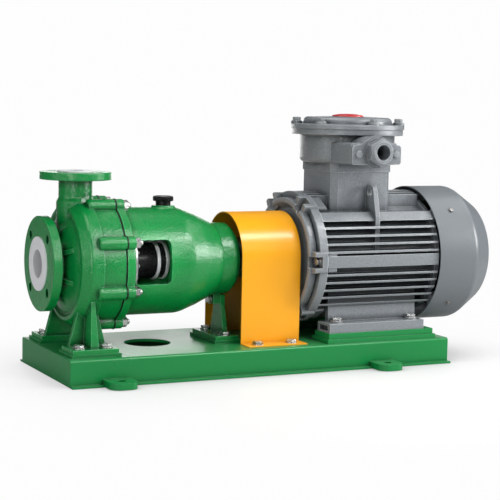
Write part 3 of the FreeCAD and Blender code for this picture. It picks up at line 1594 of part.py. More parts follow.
def terminal_box_lid():
    """Domed lid of the terminal box with a spigot into the box."""
    low = lid_bottom()
    top = low + lid_flange_thickness
    crown = top + lid_dome_height
    spigot = box_radius - box_wall - fit_gap
    body = turned_up([(0, low + 6), (spigot - 6, low + 6), (spigot - 6, low - 8), (spigot, low - 8),
                      (spigot, low), (lid_flange_radius, low, 1), (lid_flange_radius, top, 2),
                      (lid_dome_radius, top, 1.5), (lid_dome_radius - 1, crown - lid_crown, lid_dome_corner),
                      (lid_disc_radius + 8, crown, 40), (0, crown)], box_x, 0)
    bosses = [rod(lid_boss_radius, V(x, y, top - 2), V(x, y, top + lid_boss_height))
              for x, y in lid_bolt_places()]
    holes = [rod(lid_bolt_radius + bolt_clearance, V(x, y, low - 1), V(x, y, crown))
             for x, y in lid_bolt_places()]
    return cut(join([body] + bosses), holes)


def lid_disc():
    """Round disc on top of the lid."""
    crown = lid_bottom() + lid_flange_thickness + lid_dome_height
    rim = crown + lid_disc_thickness * 0.4
    return turned_up([(0, crown), (lid_disc_radius, crown), (lid_disc_radius, rim, 1.2),
                      (lid_disc_radius * 0.5, crown + lid_disc_thickness * 0.9, 30),
                      (0, crown + lid_disc_thickness)], box_x, 0)


def lid_bolts():
    """Bolts of the terminal box lid."""
    seat = lid_bottom() + lid_flange_thickness + lid_boss_height
    length = seat - shaft_z - box_flange_bottom
    return group([bolt(V(x, y, seat), V(0, 0, 1), lid_bolt_radius, length, lid_bolt_across, lid_bolt_head)
                  for x, y in lid_bolt_places()])


def terminal_block():
    """Insulating block with six brass studs, on two rails across the box."""
    z = shaft_z + neck_top + 6
    body = plate_up([(box_x - 50, -32, 6), (box_x - 50, 32, 6), (box_x + 50, 32, 6), (box_x + 50, -32, 6)],
                    z, z + 14)
    rails = [block(box_x + side * 40 - 6, box_x + side * 40 + 6, -(neck_half - neck_wall),
                   neck_half - neck_wall,
                   z - 10, z) for side in (-1, 1)]
    return join([body] + rails)


def terminal_studs():
    """Six terminal studs with their nuts."""
    z = shaft_z + neck_top + 20
    studs = []
    for column in (-1, 0, 1):
        for row in (-1, 1):
            seat = V(box_x + column * 30, row * 16, z)
            studs.append(hexagon(9.0, 5.0, seat, V(0, 0, 1)).fuse(rod(3.0, seat, seat + V(0, 0, 18))))
    return group(studs)


def cable_gland():
    """Cast cable entry: arched plate with two ears, hexagon body with chamfered corners and open mouth."""
    face = -duct_reach
    x = box_x + duct_offset
    z = gland_z()
    front = face - gland_plate_thickness
    tip = front - gland_hex_length
    low, high = duct_middle() - gland_ear_half, duct_middle() + gland_ear_half
    plate = plate_across([(x - gland_plate_half, low, 6), (x - gland_plate_half, high - 4, 6),
                          (x - 34, high, 8),
                          (x - 24, z + gland_ear_half + 4, 8), (x + 24, z + gland_ear_half + 4, 8),
                          (x + 34, high, 8), (x + gland_plate_half, high - 4, 6),
                          (x + gland_plate_half, low, 6)], front, face)
    arch = rod(gland_arch_radius, V(x, front, z), V(x, face, z))
    collar = rod(gland_collar_radius, V(x, front - gland_collar_length, z), V(x, face, z))
    body = hexagon(gland_hex_across, gland_hex_length, V(x, front, z), V(0, -1, 0))
    body.rotate(V(x, 0, z), V(0, 1, 0), 30)
    corner = gland_hex_across / math.sqrt(3.0)
    cone = turned_across([(0, front + 1), (corner + 1, front + 1), (corner + 1, tip + 6),
                          (gland_mouth_radius + 1, tip), (0, tip)], x, z)
    mouth = rod(gland_mouth_radius, V(x, tip - gland_mouth_length, z), V(x, tip + 1, z))
    tools = [rod(cable_bore, V(x, face + 1, z), V(x, tip - gland_mouth_length - 1, z))]
    hole_radius = gland_bolt_radius + bolt_clearance
    tools += [rod(hole_radius, V(bx, face + 1, duct_middle()), V(bx, front - 1, duct_middle()))
              for bx in gland_bolt_places()]
    return cut(join([plate, arch, collar, body.common(cone), mouth]), tools)


def gland_bolts():
    """Bolts of the cable entry."""
    front = -duct_reach - gland_plate_thickness
    return group([bolt(V(x, front, duct_middle()), V(0, -1, 0), gland_bolt_radius,
                       gland_plate_thickness + 16, 14.0, 6.0)
                  for x in gland_bolt_places()])


def save(name, shape):
    """Write one node."""
    shape.exportStep("parts/" + name + ".step")


def main():
    """Build every piece and write one file for each."""
    os.makedirs("parts", exist_ok=True)
    pump_outers, pump_inners, pump_balls = pump_bearings()
    motor_outers, motor_inners, motor_balls = motor_bearings()
    nodes = {
        "base_frame": base_frame(),
        "pump_casing": pump_casing(),
        "casing_liner": casing_liner(),
        "casing_gasket": casing_gasket(),
        "rear_cover": rear_cover(),
        "rear_cover_liner": rear_cover_liner(),
        "seal_gland": seal_gland(),
        "gland_screws": gland_screws(),
        "seal_stationary_ring": seal_stationary_ring(),
        "bearing_bracket": bearing_bracket(),
        "bearing_end_cover": bearing_end_cover(),
        "end_cover_screws": end_cover_screws(),
        "oil_seals": oil_seals(),
        "pump_bearing_outer_rings": pump_outers,
        "pump_bearing_balls": pump_balls,
        "casing_studs": casing_studs(),
        "casing_nuts": casing_nuts(),
        "pump_foot_bolts": pump_foot_bolts(),
        "support_foot": support_foot(),
        "support_bolts": support_bolts(),
        "coupling_guard": coupling_guard(),
        "guard_bolts": guard_bolts(),
        "motor_frame": motor_frame(),
        "motor_foot_bolts": motor_foot_bolts(),
        "drive_end_shield": drive_end_shield(),
        "end_shield_bolts": end_shield_bolts(),
        "rear_end_shield": rear_end_shield(),
        "stator_core": stator_core(),
        "stator_windings": stator_windings(),
        "motor_bearing_outer_rings": motor_outers,
        "motor_bearing_balls": motor_balls,
        "fan_cowl": fan_cowl(),
        "cowl_screws": cowl_screws(),
        "terminal_box": terminal_box(),
        "terminal_box_lid": terminal_box_lid(),
        "lid_disc": lid_disc(),
        "lid_bolts": lid_bolts(),
        "terminal_block": terminal_block(),
        "terminal_studs": terminal_studs(),
        "cable_gland": cable_gland(),
        "gland_bolts": gland_bolts(),
        "pump_shaft": pump_shaft(),
        "shaft_sleeve": shaft_sleeve(),
        "impeller": impeller(),
        "impeller_insert": impeller_insert(),
        "seal_rotary_body": seal_rotary_body(),
        "seal_clamp_rings": seal_clamp_rings(),
        "seal_drive_band": seal_drive_band(),
        "pump_bearing_inner_rings": pump_inners,
        "bearing_locknut": bearing_locknut(),
        "coupling_hub_pump": coupling_hub(1, shaft_end_radius, 0.0, 8.0),
        "coupling_hub_motor": coupling_hub(-1, motor_shaft_radius, 180.0 / jaw_count, 10.0),
        "coupling_spider": coupling_spider(),
        "pump_key": pump_key(),
        "motor_shaft": motor_shaft(),
        "motor_key": motor_key(),
        "rotor_core": rotor_core(),
        "motor_bearing_inner_rings": motor_inners,
        "cooling_fan": cooling_fan(),
        "oil_filler_cap": oil_filler_cap(),
    }
    for name, shape in nodes.items():
        save(name, shape)
        print(name, "solids", len(shape.Solids), "valid", shape.isValid(), "volume", round(shape.Volume))


main()
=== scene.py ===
# %% [markdown]
# A lined centrifugal pump stands on a folded steel base with its motor, and a sheet guard covers the
# coupling between them. The solids come from the CAD model as a fixed frame. This lesson gives them
# their paint, metal, rubber and plastic, makes the fasteners and the oil filler cap again with finer
# shapes, and sets up the camera, the floor and the light.

# %% Load the frame
import math

import bmesh
import bpy
from mathutils import Matrix, Vector


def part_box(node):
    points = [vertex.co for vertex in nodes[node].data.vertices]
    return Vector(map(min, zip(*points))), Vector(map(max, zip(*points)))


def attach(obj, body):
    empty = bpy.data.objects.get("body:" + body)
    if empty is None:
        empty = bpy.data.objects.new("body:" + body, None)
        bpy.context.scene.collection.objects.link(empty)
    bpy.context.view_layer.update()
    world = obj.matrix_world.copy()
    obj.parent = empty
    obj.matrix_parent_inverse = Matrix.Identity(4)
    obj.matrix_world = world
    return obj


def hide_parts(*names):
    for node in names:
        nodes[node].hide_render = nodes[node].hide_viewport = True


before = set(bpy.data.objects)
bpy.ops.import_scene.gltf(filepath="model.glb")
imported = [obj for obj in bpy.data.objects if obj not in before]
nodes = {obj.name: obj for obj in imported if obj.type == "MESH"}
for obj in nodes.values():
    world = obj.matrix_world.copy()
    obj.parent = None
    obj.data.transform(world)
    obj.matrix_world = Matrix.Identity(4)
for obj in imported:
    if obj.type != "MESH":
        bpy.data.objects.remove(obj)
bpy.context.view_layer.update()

# %% [markdown]
# The picture was taken with a long lens from a little above the shaft. A long lens keeps the flanges
# nearly round and the base edges nearly parallel. The camera looks along a direction that is given by a
# turn about the vertical and a tilt, and the picture itself leans by about one degree.

# %% Camera
EYE = Vector((-1.28837, -2.72897, 0.54399))
YAW, PITCH, LEAN = math.radians(26.2389), math.radians(5.844731), math.radians(1.2114)
SENSOR_MM, LENS_MM = 36.0, 106.83

ahead = Vector((math.sin(YAW) * math.cos(PITCH), math.cos(YAW) * math.cos(PITCH), -math.sin(PITCH)))
level = Vector((math.cos(YAW), -math.sin(YAW), 0.0))
upright = level.cross(ahead)
right = level * math.cos(LEAN) + upright * math.sin(LEAN)
above = upright * math.cos(LEAN) - level * math.sin(LEAN)

lens = bpy.data.cameras.new("camera")
lens.sensor_width = SENSOR_MM
lens.lens = LENS_MM
camera = bpy.data.objects.new("camera", lens)
bpy.context.scene.collection.objects.link(camera)
turn = Matrix((right, above, -ahead)).transposed().to_4x4()
camera.matrix_world = Matrix.Translation(EYE) @ turn
bpy.context.scene.camera = camera
print("camera at", tuple(round(v, 3) for v in EYE), "lens", lens.lens)

# %% [markdown]
# Shader maths reads best as plain sums. The class below wraps one socket of a node tree, so that an
# expression such as 1 - mask * 0.5 adds the Math nodes by itself. It is shorter and easier to check than
# linking every node by hand.

# %% Shader maths
class Amount:
    """One socket that answers to Python's arithmetic signs."""

    def __init__(self, finish, socket):
        self.finish = finish
        self.socket = socket

    def math(self, operation, *values):
        return self.finish.node("ShaderNodeMath", {"operation": operation}, dict(enumerate(values)))

    def __add__(self, other):
        return self.math("ADD", self, other)

    def __mul__(self, other):
        return self.math("MULTIPLY", self, other)

    def __sub__(self, other):
        return self.math("SUBTRACT", self, other)

    def __rsub__(self, other):
        return self.math("SUBTRACT", other, self)


print("shader maths ready: plus, minus and times")

# %% [markdown]
# A finish is one material. Every finish here starts from the same few parts: a pattern on Object
# coordinates, so that it stays put on the metal, a colour, a roughness and a relief. The class keeps the
# tree and offers one method that adds any node. Two of its masks paint light and shade into the colour:
# one is dark deep in the corners, where less ambient light reaches, for a painted shade, and one is bright
# on the edges, for paint that rubs thin there and for a painted highlight.

# %% Finish class
def display(red, green, blue):
    """Linear colour from the three numbers that a screen shows, 0 to 255."""
    parts = [v / 255.0 for v in (red, green, blue)]
    return tuple(v / 12.92 if v <= 0.04045 else ((v + 0.055) / 1.055) ** 2.4 for v in parts) + (1.0,)


class Finish:
    """A material with one Principled shader and the nodes that feed it."""

    def __init__(self, name, **constants):
        self.material = bpy.data.materials.new(name)
        self.material.use_nodes = True
        self.tree = self.material.node_tree
        self.shader = self.tree.nodes["Principled BSDF"]
        for socket, value in constants.items():
            self.shader.inputs[socket.replace("_", " ")].default_value = value
        self.place = self.node("ShaderNodeTexCoord", output="Object")

    def node(self, kind, settings=None, inputs=None, output=0):
        """One output of a new node, after its settings and inputs are filled in."""
        made = self.tree.nodes.new(kind)
        for name, value in (settings or {}).items():
            setattr(made, name, value)
        for key, value in (inputs or {}).items():
            self.feed(made.inputs[key], value)
        return Amount(self, made.outputs[output])

    def feed(self, socket, value):
        if isinstance(value, Amount):
            self.tree.links.new(value.socket, socket)
        else:
            socket.default_value = value

    def noise(self, scale, detail):
        """Cloudy pattern from 0 to 1, with so many grains to the metre."""
        return self.node("ShaderNodeTexNoise", None,
                         {"Vector": self.place, "Scale": scale, "Detail": detail})

    def mix(self, share, first, second):
        """Colour between two colours."""
        return self.node("ShaderNodeMix", {"data_type": "RGBA"}, {0: share, 6: first, 7: second}, 2)

    def shades(self, share, low, high):
        """Number between low and high as share goes from 0 to 1."""
        return share * (high - low) + low

    def window(self, value, low, high):
        """0 below low and 1 above high, with a soft step between."""
        return self.node("ShaderNodeMapRange", {"interpolation_type": "SMOOTHSTEP"},
                         {"Value": value, "From Min": low, "From Max": high})

    def colour(self, value):
        self.feed(self.shader.inputs["Base Color"], value)

    def roughness(self, value):
        self.feed(self.shader.inputs["Roughness"], value)

    def relief(self, height, depth, edge=0.0):
        """Bump of a height pattern, over edges that are rounded by a small radius."""
        inputs = {"Height": height, "Distance": depth}
        if edge:
            inputs["Normal"] = self.node("ShaderNodeBevel", {"samples": 4}, {"Radius": edge})
        self.feed(self.shader.inputs["Normal"], self.node("ShaderNodeBump", None, inputs))

    def corners(self, reach):
        """1 in the open and 0 deep in a corner, from the ambient light that reaches it."""
        return self.node("ShaderNodeAmbientOcclusion", {"samples": 6, "only_local": True},
                         {"Distance": reach}, "AO")

    def edges(self, reach):
        """1 on an edge and 0 on an open face, from how far the rounded normal leans off the true one."""
        rounded = self.node("ShaderNodeBevel", {"samples": 6}, {"Radius": reach})
        flat = self.node("ShaderNodeNewGeometry", output="Normal")
        alike = self.node("ShaderNodeVectorMath", {"operation": "DOT_PRODUCT"},
                          {0: rounded, 1: flat}, "Value")
        return self.window(1.0 - alike, 0.01, 0.14)


print("finish class ready")

# %% [markdown]
# Cast iron under two coats of enamel keeps the grain of its sand mould: fine pits and a slow waviness,
# both softened by the paint. Three noises of different size make this, with a rounded edge from the
# Bevel node, because paint never leaves an edge sharp. The enamel is painted darker in the corners, a
# painted shade where less ambient light reaches, and paler along the edges, partly wear and partly a
# painted highlight. Two castings need more. The bearing bracket is painted nearly black inside its
# window, a painted shade, which the distance from the shaft axis tells apart, and the rim of the motor's
# end shield shows pale streaks, partly where the paint came off against its neighbour and partly a
# painted highlight.

# %% Painted castings
AXIS_Z = sum(corner.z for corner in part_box("pump_shaft")) / 2
BRACKET_HOLLOW = 0.0985  # radius of the bracket's inner wall
SHIELD_RIM = 0.136  # radius of the end shield's rim
# near black painted inside the bracket's window: a painted shade
INNER_PAINTED_SHADE = display(14, 16, 15)
WAVE_SCALE, CLOUD_SCALE = 60.0, 9.0  # grains to the metre of the slow waviness and the cloudy tint
CORNER_REACH = 0.02  # how far from a corner the paint darkens


def from_shaft(finish):
    """Distance from the shaft axis."""
    centred = finish.node("ShaderNodeMapping", None,
                          {"Vector": finish.place, "Location": (0.0, 0.0, -AXIS_Z)})
    across = finish.node("ShaderNodeSeparateXYZ", None, {0: centred}, "Y")
    height = finish.node("ShaderNodeSeparateXYZ", None, {0: centred}, "Z")
    return (across * across + height * height).math("SQRT")


def painted_casting(name, paints, gloss, grain=310.0, depth=0.0009, edge=0.0022, shade_within=0.0, rim=0.0):
    """Enamel on cast iron: open face, painted shade in corners, edges of wear and painted highlight."""
    colour, deep, wear_and_highlight = paints
    finish = Finish(name, Coat_Weight=0.1, Coat_Roughness=0.1, Specular_IOR_Level=0.58)
    fine = finish.noise(grain, 4.0)
    slow = finish.noise(WAVE_SCALE, 2.0)
    cloud = finish.noise(CLOUD_SCALE, 3.0)
    corner = finish.corners(CORNER_REACH)
    # painted shade: corners, where less ambient light reaches, turn to the deep colour, with a little cloudy
    # tone
    shade_and_tone = finish.window(corner * 0.9 + cloud * 0.1, 0.38, 0.97)
    paint = finish.mix(shade_and_tone, deep, colour)
    paint = finish.mix(finish.window(fine, 0.35, 0.7) * 0.22, paint, deep)
    # pale edges: partly worn paint, partly a painted highlight
    paint = finish.mix(finish.edges(edge) * corner * 0.75, paint, wear_and_highlight)
    if shade_within:
        # painted shade: nearly black inside the bracket's window
        shade_inside = 1.0 - finish.window(from_shaft(finish), shade_within - 0.0006, shade_within + 0.0006)
        paint = finish.mix(shade_inside, paint, INNER_PAINTED_SHADE)
    if rim:
        # pale streaks on the shield's rim: partly worn paint, partly a painted highlight
        away = from_shaft(finish)
        within = 1.0 - finish.window(away, rim, rim + 0.001)
        on_rim = finish.window(away, rim - 0.0012, rim - 0.0006) * within
        streaks = finish.window(finish.noise(150.0, 4.0), 0.4, 0.6)
        paint = finish.mix(on_rim * streaks * 0.6, paint, wear_and_highlight)
    finish.colour(paint)
    finish.roughness(finish.shades(fine * 0.5 + cloud * 0.5, gloss - 0.07, gloss + 0.09))
    finish.relief(fine + slow, depth, edge)
    return finish.material


# open face; deep colour for the painted corner shade and the speckles; pale colour for wear and painted
# highlight
GREEN = display(8, 128, 58), display(2, 44, 18), display(76, 184, 120)
GREY = display(121, 126, 130), display(58, 62, 65), display(184, 189, 192)
BOLT_GREY = display(128, 133, 136), display(60, 64, 67), display(180, 184, 186)
GREEN_GLOSS, GREY_GLOSS = 0.16, 0.22
green_cast = painted_casting("green_casting_enamel", GREEN, GREEN_GLOSS)
green_bracket = painted_casting("green_bracket_enamel", GREEN, GREEN_GLOSS, shade_within=BRACKET_HOLLOW)
grey_cast = painted_casting("grey_casting_enamel", GREY, GREY_GLOSS)
grey_shield = painted_casting("grey_shield_enamel", GREY, GREY_GLOSS, rim=SHIELD_RIM)
grey_bolt = painted_casting("grey_painted_bolt", BOLT_GREY, 0.3, grain=900.0, depth=0.0002, edge=0.0006)
print("castings:", [m.name for m in (green_cast, green_bracket, grey_cast, grey_shield, grey_bolt)])

# %% [markdown]
# Folded and welded sheet is smoother than a casting. Sprayed enamel leaves a faint orange peel on it,
# and its level faces are paler: partly a film of dust, partly a painted sheen. Its corners are painted
# darker, a painted shade. The peel is one middle-sized noise, and the paler film follows the upward part
# of the surface normal.

# %% Painted sheet
def painted_sheet(name, colour, deep, gloss, dust_and_sheen_colour, edge=0.0015):
    """Sprayed enamel on folded sheet: dust and painted sheen on level faces, painted shade in corners."""
    finish = Finish(name, Coat_Weight=0.1, Coat_Roughness=0.1, Specular_IOR_Level=0.42)
    peel = finish.noise(240.0, 2.0)
    cloud = finish.noise(5.0, 4.0)
    facing = finish.node("ShaderNodeNewGeometry", output="Normal")
    upward = finish.node("ShaderNodeSeparateXYZ", None, {0: facing}, "Z")
    # dust and painted sheen: the level faces turn paler, in clouds
    dust_and_sheen = finish.window(upward, 0.6, 1.0) * finish.window(cloud, 0.3, 0.7)
    corner = finish.corners(CORNER_REACH)
    # painted shade: the corners turn to the deep colour
    paint = finish.mix(finish.window(corner, 0.2, 0.8), deep, colour)
    finish.colour(finish.mix(dust_and_sheen * 0.12, paint, dust_and_sheen_colour))
    finish.roughness(finish.shades(cloud, gloss - 0.06, gloss + 0.1) + dust_and_sheen * 0.08)
    finish.relief(peel * 0.6 + cloud, 0.0004, edge)
    return finish.material


green_sheet = painted_sheet("green_sheet_enamel", display(8, 120, 57), display(2, 66, 29), 0.28,
                            display(130, 170, 140))
yellow_sheet = painted_sheet("yellow_guard_enamel", display(226, 155, 16), display(180, 108, 8), 0.3,
                             display(246, 200, 110), 0.0008)
grey_sheet = painted_sheet("grey_cowl_enamel", display(97, 102, 106), display(50, 54, 58), 0.34,
                           display(170, 174, 176), 0.0012)
print("sheets:", green_sheet.name, yellow_sheet.name, grey_sheet.name)

# %% [markdown]
# The lining is white fluoroplastic, a soft waxy plastic that lets a little light into its skin. Turned
# faces show faint rings round the bore, which come from the distance to the shaft axis, and the white
# falls off to grey deep in the bore. Rubber, moulded plastic and seal carbon are all nearly black: what
# tells them apart is their gloss and the size of their grain.

# %% Plastics and rubber
def rings_about_shaft(finish, pitch):
    """Fine turning marks: a wave that rises and falls with the distance from the shaft axis."""
    return (from_shaft(finish) * (2 * math.pi / pitch)).math("SINE")


def fluoroplastic():
    """White lining that turns grey where little light reaches it."""
    finish = Finish("white_fluoroplastic", Subsurface_Weight=0.15, Subsurface_Scale=0.004,
                    Subsurface_Radius=(1.0, 0.9, 0.8))
    cloud = finish.noise(30.0, 3.0)
    white = finish.mix(cloud, display(204, 205, 208), display(218, 219, 221))
    open_air = finish.window(finish.corners(0.06), 0.25, 0.7)
    finish.colour(finish.mix(open_air, display(120, 121, 123), white))
    finish.roughness(finish.shades(cloud, 0.3, 0.42))
    finish.relief(rings_about_shaft(finish, 0.0012) * 0.5 + cloud, 0.00012, 0.0012)
    return finish.material


def dark_polymer(name, colour, worn, gloss, grain, depth):
    """Nearly black plastic or rubber with a fine grain."""
    finish = Finish(name, Specular_IOR_Level=0.3)
    fine = finish.noise(grain, 2.0)
    cloud = finish.noise(20.0, 3.0)
    finish.colour(finish.mix(finish.window(cloud, 0.35, 0.75), colour, worn))
    finish.roughness(finish.shades(fine, gloss - 0.07, gloss + 0.12))
    finish.relief(fine + cloud * 0.5, depth, 0.0008)
    return finish.material


white_lining = fluoroplastic()
black_rubber = dark_polymer("black_rubber", display(11, 11, 12), display(20, 20, 21),
                            0.55, 900.0, 0.0003)
black_plastic = dark_polymer("black_moulded_plastic", display(9, 9, 10), display(18, 18, 19),
                             0.2, 700.0, 0.0002)
seal_carbon = dark_polymer("black_seal_carbon", display(14, 14, 15), display(28, 28, 30),
                           0.25, 300.0, 0.00004)
print("plastics:", white_lining.name, black_rubber.name, black_plastic.name, seal_carbon.name)

# %% [markdown]
# Bare metal differs mostly in its roughness. Turned parts carry rings round their axis, zinc plating has
# a cloudy bloom, and cut steel is darker. One function takes the two colours, the gloss and the grains of
# the bloom to the metre. The clamp rings of the seal are satin: only a third of their shine is that of
# metal, so that they stay bright inside the dark window of the bracket.

# %% Metals
def bare_metal(name, light, dark, gloss, bloom, depth, turned=0.0, metallic=1.0):
    """Unpainted metal; turned is the pitch of its turning marks."""
    finish = Finish(name, Metallic=metallic)
    cloud = finish.noise(bloom, 4.0)
    fine = finish.noise(1400.0, 2.0)
    corner = finish.corners(0.004)
    # painted shade: the colour turns dark in the corners, mixed with the cloudy bloom
    shade = finish.window(cloud * 0.4 + corner * 0.6, 0.3, 0.85)
    finish.colour(finish.mix(shade, dark, light))
    finish.roughness(finish.shades(cloud * 0.5 + fine * 0.5, gloss - 0.08, gloss + 0.12))
    height = fine
    if turned:
        height = height + rings_about_shaft(finish, turned) * 0.5
    finish.relief(height, depth, 0.0006)
    return finish.material


zinc_steel = bare_metal("zinc_plated_steel", display(214, 214, 213), display(92, 92, 94),
                        0.25, 160.0, 0.0001)
turned_steel = bare_metal("turned_steel", display(200, 200, 202), display(120, 120, 124),
                          0.26, 60.0, 0.0001, turned=0.0008)
bright_steel = bare_metal("polished_steel", display(236, 236, 236), display(170, 170, 172),
                          0.14, 80.0, 0.00005, turned=0.0006)
dull_steel = bare_metal("dull_steel", display(150, 148, 146), display(84, 82, 80),
                        0.42, 70.0, 0.0002)
satin_steel = bare_metal("satin_steel", display(222, 222, 224), display(150, 150, 154),
                         0.3, 80.0, 0.00005, turned=0.0006, metallic=0.35)
brass = bare_metal("brass", display(214, 176, 98), display(134, 98, 44),
                   0.28, 120.0, 0.0001)
print("metals:", [m.name for m in (zinc_steel, turned_steel, bright_steel, dull_steel, satin_steel, brass)])

# %% [markdown]
# The parts inside the motor have looks of their own. Its core is a stack of thin steel sheets, which a
# sine along the shaft draws as fine lines. The winding is varnished copper wire, drawn as slanting bands.
# Ceramic and the red enamel of the lid's disc are both glazed: smooth, with a thin clear coat.

# %% Laminated steel, winding varnish, ceramic and red enamel
SHEET_PITCH = 0.001


def laminations():
    finish = Finish("laminated_steel", Metallic=0.9)
    along = finish.node("ShaderNodeSeparateXYZ", None, {0: finish.place}, "X")
    sheets = (along * (2 * math.pi / SHEET_PITCH)).math("SINE")
    cloud = finish.noise(40.0, 3.0)
    finish.colour(finish.mix(cloud, display(92, 92, 96), display(134, 134, 138)))
    finish.roughness(finish.shades(cloud, 0.35, 0.5))
    finish.relief(sheets, 0.0001)
    return finish.material


def varnished_winding():
    finish = Finish("varnished_winding", Coat_Weight=0.4)
    strands = finish.node("ShaderNodeTexWave", {"bands_direction": "DIAGONAL"},
                          {"Vector": finish.place, "Scale": 240.0, "Distortion": 6.0, "Detail": 2.0}, 1)
    finish.colour(finish.mix(strands, display(110, 44, 16), display(196, 104, 46)))
    finish.roughness(finish.shades(strands, 0.3, 0.5))
    finish.relief(strands, 0.0006)
    return finish.material


def glazed(name, low, high, gloss):
    finish = Finish(name, Coat_Weight=0.3, Coat_Roughness=0.1)
    cloud = finish.noise(60.0, 3.0)
    finish.colour(finish.mix(cloud, low, high))
    finish.roughness(finish.shades(cloud, gloss - 0.05, gloss + 0.08))
    finish.relief(cloud, 0.00008, 0.0008)
    return finish.material


core_steel = laminations()
winding = varnished_winding()
ceramic = glazed("white_ceramic", display(224, 222, 214), display(238, 236, 230), 0.2)
red_enamel = glazed("red_disc_enamel", display(176, 26, 30), display(200, 42, 44), 0.34)
print("others:", core_steel.name, winding.name, ceramic.name, red_enamel.name)

# %% [markdown]
# Every CAD node that stays in view takes one of these finishes in its own material slots. The dictionary
# reads like the painter's list: what is sprayed green, what is grey, what stays bare.

# %% Finishes of the CAD nodes
FINISHES = {
    green_sheet: ["base_frame"],
    green_cast: ["pump_casing", "support_foot", "bearing_end_cover"],
    green_bracket: ["bearing_bracket"],
    grey_shield: ["drive_end_shield"],
    grey_cast: ["motor_frame", "rear_end_shield", "terminal_box", "terminal_box_lid",
                "cable_gland"],
    grey_sheet: ["fan_cowl"],
    yellow_sheet: ["coupling_guard"],
    white_lining: ["casing_liner", "rear_cover_liner", "impeller"],
    black_rubber: ["casing_gasket", "oil_seals", "coupling_spider"],
    black_plastic: ["oil_filler_cap", "cooling_fan", "terminal_block"],
    seal_carbon: ["seal_rotary_body", "seal_gland", "seal_drive_band"],
    ceramic: ["seal_stationary_ring"],
    turned_steel: ["rear_cover", "pump_shaft", "shaft_sleeve", "motor_shaft", "bearing_locknut"],
    satin_steel: ["seal_clamp_rings"],
    bright_steel: ["pump_bearing_outer_rings", "pump_bearing_inner_rings",
                   "pump_bearing_balls", "motor_bearing_outer_rings", "motor_bearing_inner_rings",
                   "motor_bearing_balls"],
    dull_steel: ["coupling_hub_pump", "coupling_hub_motor", "impeller_insert", "pump_key", "motor_key"],
    zinc_steel: ["casing_studs", "casing_nuts", "gland_screws", "end_cover_screws", "pump_foot_bolts",
                 "support_bolts", "guard_bolts", "motor_foot_bolts", "end_shield_bolts", "cowl_screws",
                 "lid_bolts", "gland_bolts"],
    core_steel: ["stator_core", "rotor_core"],
    winding: ["stator_windings"],
    brass: ["terminal_studs"],
    red_enamel: ["lid_disc"],
}


def finish_node(name, material):
    """Give a CAD node one material in all its slots."""
    mesh = nodes[name].data
    mesh.materials.clear()
    mesh.materials.append(material)


for material, names in FINISHES.items():
    for name in names:
        finish_node(name, material)
left_out = sorted(set(nodes) - {name for names in FINISHES.values() for name in names})
print("nodes with a finish:", len(nodes) - len(left_out), "without:", left_out)

# %% [markdown]
# The CAD bolts are plain prisms. A real bolt head has its six corners turned off by a cone, which leaves
# six arcs on its sides, and it stands on a washer. To make them finer the lesson first reads from every
# CAD solid where its seat lies and how large it is, so that nothing is measured by hand. The solids are
# taken in a fixed order, so that the chance turns given later fall on the same bolts in every run.

# %% Reading the CAD bolts
UP, ALONG, ACROSS = Vector((0, 0, 1)), Vector((1, 0, 0)), Vector((0, 1, 0))
MERGE, LEVEL = 1e-6, 1e-5  # distance of one and the same point, and of points at one height
COLLAR_LEVEL = 0.1  # bolts of the support foot above this height lie along the shaft


def solids_of(name):
    """Corner points of each separate solid of a CAD node, in the order of the node's own points."""
    mesh = bmesh.new()
    mesh.from_mesh(nodes[name].data)
    mesh.transform(nodes[name].matrix_world)
    bmesh.ops.remove_doubles(mesh, verts=mesh.verts, dist=MERGE)
    reached, groups = set(), []
    for first in mesh.verts:
        if first in reached:
            continue
        reached.add(first)
        front, group = [first], []
        while front:
            here = front.pop()
            group.append(here.co.copy())
            for other in [edge.other_vert(here) for edge in here.link_edges]:
                if other not in reached:
                    reached.add(other)
                    front.append(other)
        groups.append(group)
    mesh.free()
    return groups


def read_bolt(points, facing):
    """Seat, head and shank of one bolt whose head points along facing."""
    height = [p.dot(facing) for p in points]
    high, low = max(height), min(height)
    top = [p for p, h in zip(points, height) if h > high - LEVEL]
    centre = sum(top, Vector()) / len(top)
    reach = [((p - centre) - facing * (p - centre).dot(facing)).length for p in points]
    corner = max(reach)
    seat = min(h for h, r in zip(height, reach) if r > corner * 0.97)
    shank = max(r for h, r in zip(height, reach) if h < low + LEVEL)
    return {"seat": centre + facing * (seat - high), "facing": facing,
            "flat": corner * math.cos(math.pi / 6), "head": high - seat, "shank": shank,
            "length": seat - low}


def facing_of(name, points):
    """Direction of a bolt's head: the cowl screws point away from the shaft, the others along an axis."""
    middle = sum(points, Vector()) / len(points)
    if name == "cowl_screws":
        return Vector((0, middle.y, middle.z - AXIS_Z)).normalized()
    if name in ("gland_screws", "end_cover_screws", "casing_nuts"):
        return ALONG
    if name == "end_shield_bolts" or (name == "support_bolts" and middle.z > COLLAR_LEVEL):
        return -ALONG
    return -ACROSS if name == "gland_bolts" else UP


sample = read_bolt(solids_of("pump_foot_bolts")[0], UP)
print("first casing foot bolt:", {k: round(v, 4) for k, v in sample.items() if isinstance(v, float)})

# %% [markdown]
# One lathe serves for all small turned parts. It turns a line of radius and height about Z. A third number
# on a point is half the width across the flats: there the ring is clipped by a hexagon, and where a cone
# shrinks the ring below the corners the familiar arcs appear. GRIP as the third number marks a ring into
# which a cosine of the angle cuts grooves.

# %% Lathe
GRIP = -1.0


